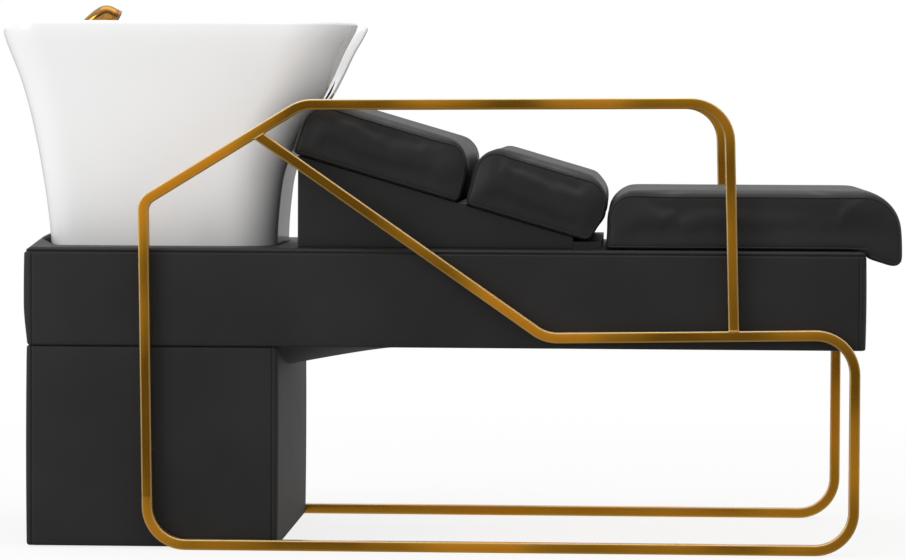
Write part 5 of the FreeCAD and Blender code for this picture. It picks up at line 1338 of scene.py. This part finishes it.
def spray_body():
    """Hand spray: a round section that swells from the heel to the bend and ends in a ribbed collar
    with the recessed face."""
    line, run = spray_line()
    end = run[-1]
    widths = (SPRAY_HEEL, SPRAY_GRIP, SPRAY_BEND, SPRAY_HEAD, SPRAY_HEAD)
    radii = np.interp(run / end, SWELL_SHARES, widths)
    window = np.full(2 * SWELL_SOFTNESS + 1, 1 / (2 * SWELL_SOFTNESS + 1))
    radii = np.convolve(np.pad(radii, SWELL_SOFTNESS, "edge"), window, "valid")
    rib = np.cos((end - run) / RIB_STEP * 2 * math.pi)
    ribbed = np.clip((run - end + SPRAY_RIBS * RIB_STEP) / RIB_STEP, 0, 1)
    radii = radii + RIB_RISE * np.clip(rib, 0, 1) * ribbed
    way = tangents(line)
    back = line[-1] - way[-1] * ROSE_RECESS
    path = np.concatenate([np.repeat(line[:1], 2, 0), line, [line[-1], back, back]])
    way = np.concatenate([np.repeat(way[:1], 2, 0), way, np.repeat(way[-1:], 3, 0)])
    inner = SPRAY_HEAD - ROSE_MARGIN
    radii = np.concatenate([[0.0, radii[0] - MM], radii, [inner, inner, 0.0]])
    return round_sweep("spray_gold", path, way, radii)


def spray_rose():
    """Face of the spray: a shallow dome, a parabola of the radius, with rings of rounded jets, the
    square of a cosine along the radius times a cosine round it."""
    line, _ = spray_line()
    way = (line[-1] - line[-2]) / math.dist(line[-1], line[-2])
    across = np.array([-way[1], way[0]])
    radius = ramp(ROSE_ROWS)[:, None] * (SPRAY_HEAD - ROSE_MARGIN)
    angle = ramp(ROSE_PLACES + 1)[None, :-1] * 2 * math.pi
    rings = np.cos(radius / JET_STEP * 2 * math.pi)
    around = np.cos(angle * np.round(radius / JET_STEP) * JETS_PER_RING)
    raised = ROSE_DOME * (1 - (radius / SPRAY_HEAD) ** 2) + JET * np.clip(rings * around, 0, 1) ** 2
    out = radius * np.cos(angle)
    depth = raised - ROSE_RECESS
    x = line[-1, 0] + across[0] * out + way[0] * depth
    z = line[-1, 1] + across[1] * out + way[1] * depth
    y = radius * np.sin(angle) + 0 * depth
    return surface("spray_rose", np.stack([x, y, z], -1), close_cols=True)


class BED_OT_taps(bpy.types.Operator):
    """Single-lever mixer and the hand spray in its holder, in polished gold"""

    bl_idname = "bed.taps"
    bl_label = "Taps"

    def execute(self, context):
        for node in ("mixer_body", "mixer_cap", "mixer_lever", "spray_holder"):
            coat(NODES[node], "polished gold", polished_gold)
        wear(spray_body(), "hand_spray", "polished_gold", "hand_spray")
        wear(spray_rose(), "hand_spray", "black_plastic", "spray_face")
        return {"FINISHED"}


# Pieces that keep their shape

CARRIED = {
    "plywood": (plywood, (
        "box_side_board_right", "box_side_board_left", "box_foot_board", "box_cross_boards", "buffer_rail",
        "box_bottom_board", "box_deck", "plinth_side_board_right", "plinth_side_board_left",
        "plinth_front_board", "plinth_floor_board", "plinth_top_board", "plinth_back_frame", "wedge_carcass",
        "shoulder_base_board", "back_base_board", "seat_base_board")),
    "leatherette": (leatherette, ("wedge_base_board", "box_back_board")),
    "black steel": (plain_finish(BLACK_STEEL, 0.0, 0.45), (
        "service_panel", "basin_cradle", "bearing_blocks")),
    "zinc steel": (plain_finish(ZINC, 1.0, 0.35), (
        "frame_bolts", "frame_rivet_nuts", "frame_spacers", "service_panel_screws", "cushion_screws",
        "bearing_screws", "drain_flange", "drain_strainer")),
    "black rubber": (plain_finish(RUBBER, 0.0, 0.7), (
        "drain_seal", "cradle_pads", "tilt_buffers", "mixer_washer")),
    "grey plastic": (plain_finish(GREY, 0.0, 0.5), ("drain_nut", "tail_pipe", "mixer_nut", "holder_nut")),
    "black plastic": (black_plastic, ("levelling_glides", "bearing_bushes")),
}


class BED_OT_carried(bpy.types.Operator):
    """Materials of the boards, fasteners, bearings and plumbing that keep the frame's own shape"""

    bl_idname = "bed.carried"
    bl_label = "Boards and fittings"

    def execute(self, context):
        for name, (maker, nodes) in CARRIED.items():
            for node in nodes:
                coat(NODES[node], name, maker)
        return {"FINISHED"}


# Stage

WHITE = (1.0, 1.0, 1.0, 1.0)
PAPER_LOW, PAPER_HIGH = (0.94, 0.94, 0.94, 1.0), (0.96, 0.96, 0.96, 1.0)
DIM_SIDE = (0.13, 0.13, 0.13, 1.0)
DIM_FLOOR = (0.34, 0.34, 0.34, 1.0)
AMBIENT = 0.8
SHADOW_LIFT = 0.82
SHADOW_NEAR, SHADOW_FAR = 1.0, 3.0
FLOOR_REACH = 40.0
SOFTBOXES = (
    ("top_softbox", (-0.2, -0.4, 3.4), (-0.1, 0.0, 0.4), (3.6, 2.6), 26.0),
    ("head_softbox", (-3.4, -3.0, 1.9), (0.0, 0.0, 0.5), (2.2, 2.2), 48.0),
)
EYE_PLACE = (0.33468, -7.28551, 0.79012)
EYE_LENS, EYE_SENSOR = 154.05, 36.0
EYE_YAW, EYE_PITCH, EYE_ROLL = 2.635, 2.4588, -0.2794


def softbox(name, place, target, size, power):
    """A rectangular lamp that looks at a target, with its size in metres and its power in watts."""
    lamp = bpy.data.lights.new(name, "AREA")
    lamp.shape, lamp.energy = "RECTANGLE", power
    lamp.size, lamp.size_y = size
    holder = bpy.data.objects.new(name, lamp)
    holder.location = place
    holder.rotation_euler = (Vector(target) - Vector(place)).to_track_quat("-Z", "Y").to_euler()
    bpy.context.scene.collection.objects.link(holder)


def studio_world():
    """White surround for the camera. What is mirrored is white behind and above the bed and dim on the
    camera's side, and what lights the bed is even."""
    f = Finish("studio", bpy.data.worlds)
    path = f.node("LightPath").outputs
    way = f.node("SeparateXYZ", None, {"Vector": f.node("TexCoord").outputs["Generated"]}).outputs
    behind = Value(f, way["Y"]).between(-0.7, 0.3)
    above = Value(f, way["Z"]).between(0.15, 0.9)
    mirrored = f.blend(behind.larger(above), DIM_SIDE, WHITE)
    even = f.node("Background", None, {"Color": WHITE, "Strength": AMBIENT}).outputs[0]
    mirror = f.node("Background", None, {"Color": mirrored, "Strength": 1.0}).outputs[0]
    white = f.node("Background", None, {"Color": WHITE, "Strength": 1.0}).outputs[0]
    lit = f.either(path["Is Glossy Ray"], even, mirror)
    seen = Value(f, path["Is Camera Ray"]).larger(Value(f, path["Is Transmission Ray"]))
    f.node("OutputWorld", None, {"Surface": f.either(seen, lit, white)})
    bpy.context.scene.world = f.made


def floor_paper(name):
    """White studio paper. The camera sees it fade to the white surround away from the bed, with the
    bed's shadow kept near it, and mirrors see it dim on the camera's side."""
    f = Finish(name)
    path = f.node("LightPath").outputs
    mottle = f.noise(f.place(), 3.0, 2.0)
    base = f.blend(mottle, PAPER_LOW, PAPER_HIGH)
    paper = f.principled(Base_Color=base, Roughness=0.9 + 0.02 * mottle, Specular_IOR_Level=0.1)
    x, y = f.axis("X"), f.axis("Y")
    away = (x * x + y * y).between(SHADOW_NEAR ** 2, SHADOW_FAR ** 2)
    white = f.node("Emission", None, {"Color": WHITE, "Strength": 1.0}).outputs[0]
    seen = f.either(SHADOW_LIFT + (1 - SHADOW_LIFT) * away, paper, white)
    mirrored = f.blend(y.between(-0.9, 0.6), DIM_SIDE, DIM_FLOOR)
    mirror = f.node("Emission", None, {"Color": mirrored, "Strength": 1.0}).outputs[0]
    camera = f.either(path["Is Camera Ray"], paper, seen)
    f.node("OutputMaterial", None, {"Surface": f.either(path["Is Glossy Ray"], camera, mirror)})
    return f.made


def aimed(yaw, pitch, roll):
    """Turn of a camera that looks along +Y, swung left by yaw, tipped down by pitch and rolled."""
    look = Euler((math.radians(90 - pitch), 0, math.radians(yaw)))
    return (look.to_matrix() @ Matrix.Rotation(math.radians(-roll), 3, "Z")).to_euler()


class BED_OT_stage(bpy.types.Operator):
    """Pale floor, soft lights and the camera of the photograph's view"""

    bl_idname = "bed.stage"
    bl_label = "Stage"

    def execute(self, context):
        scene = context.scene
        scene.view_settings.view_transform = "Standard"
        x, y = np.meshgrid(*[np.linspace(-FLOOR_REACH, FLOOR_REACH, 5)] * 2)
        floor = surface("studio_floor", np.stack([x, y, 0 * x], -1))
        floor.data.materials.append(finish("floor paper", floor_paper))
        studio_world()
        for box in SOFTBOXES:
            softbox(*box)
        eye = bpy.data.cameras.new("camera")
        eye.sensor_width, eye.lens = EYE_SENSOR, EYE_LENS
        camera = bpy.data.objects.new("camera", eye)
        camera.location = EYE_PLACE
        camera.rotation_euler = aimed(EYE_YAW, EYE_PITCH, EYE_ROLL)
        scene.collection.objects.link(camera)
        scene.camera = camera
        return {"FINISHED"}


class BED_PT_panel(bpy.types.Panel):
    """Lists the bed's pieces in the sidebar"""

    bl_idname = "BED_PT_panel"
    bl_label = "Washing bed"
    bl_space_type = "VIEW_3D"
    bl_region_type = "UI"
    bl_category = "Washing bed"

    def draw(self, context):
        for group in (context.scene.bed_sizes, context.scene.bed_finishes):
            for name in group.__annotations__:
                self.layout.prop(group, name)
        for operator in STEPS:
            self.layout.operator(operator.bl_idname)


STEPS = (
    BED_OT_stage, BED_OT_frames, BED_OT_basin, BED_OT_covers, BED_OT_cushions, BED_OT_taps,
    BED_OT_carried,
)
CLASSES = (BedSizes, BedFinishes) + STEPS + (BED_PT_panel,)


def register():
    for kind in CLASSES:
        bpy.utils.register_class(kind)
    bpy.types.Scene.bed_sizes = bpy.props.PointerProperty(type=BedSizes)
    bpy.types.Scene.bed_finishes = bpy.props.PointerProperty(type=BedFinishes)


def unregister():
    del bpy.types.Scene.bed_finishes
    del bpy.types.Scene.bed_sizes
    for kind in reversed(CLASSES):
        bpy.utils.unregister_class(kind)


def main():
    register()
    for operator in STEPS:
        group, name = operator.bl_idname.split(".")
        getattr(getattr(bpy.ops, group), name)()


if __name__ == "__main__":
    main()
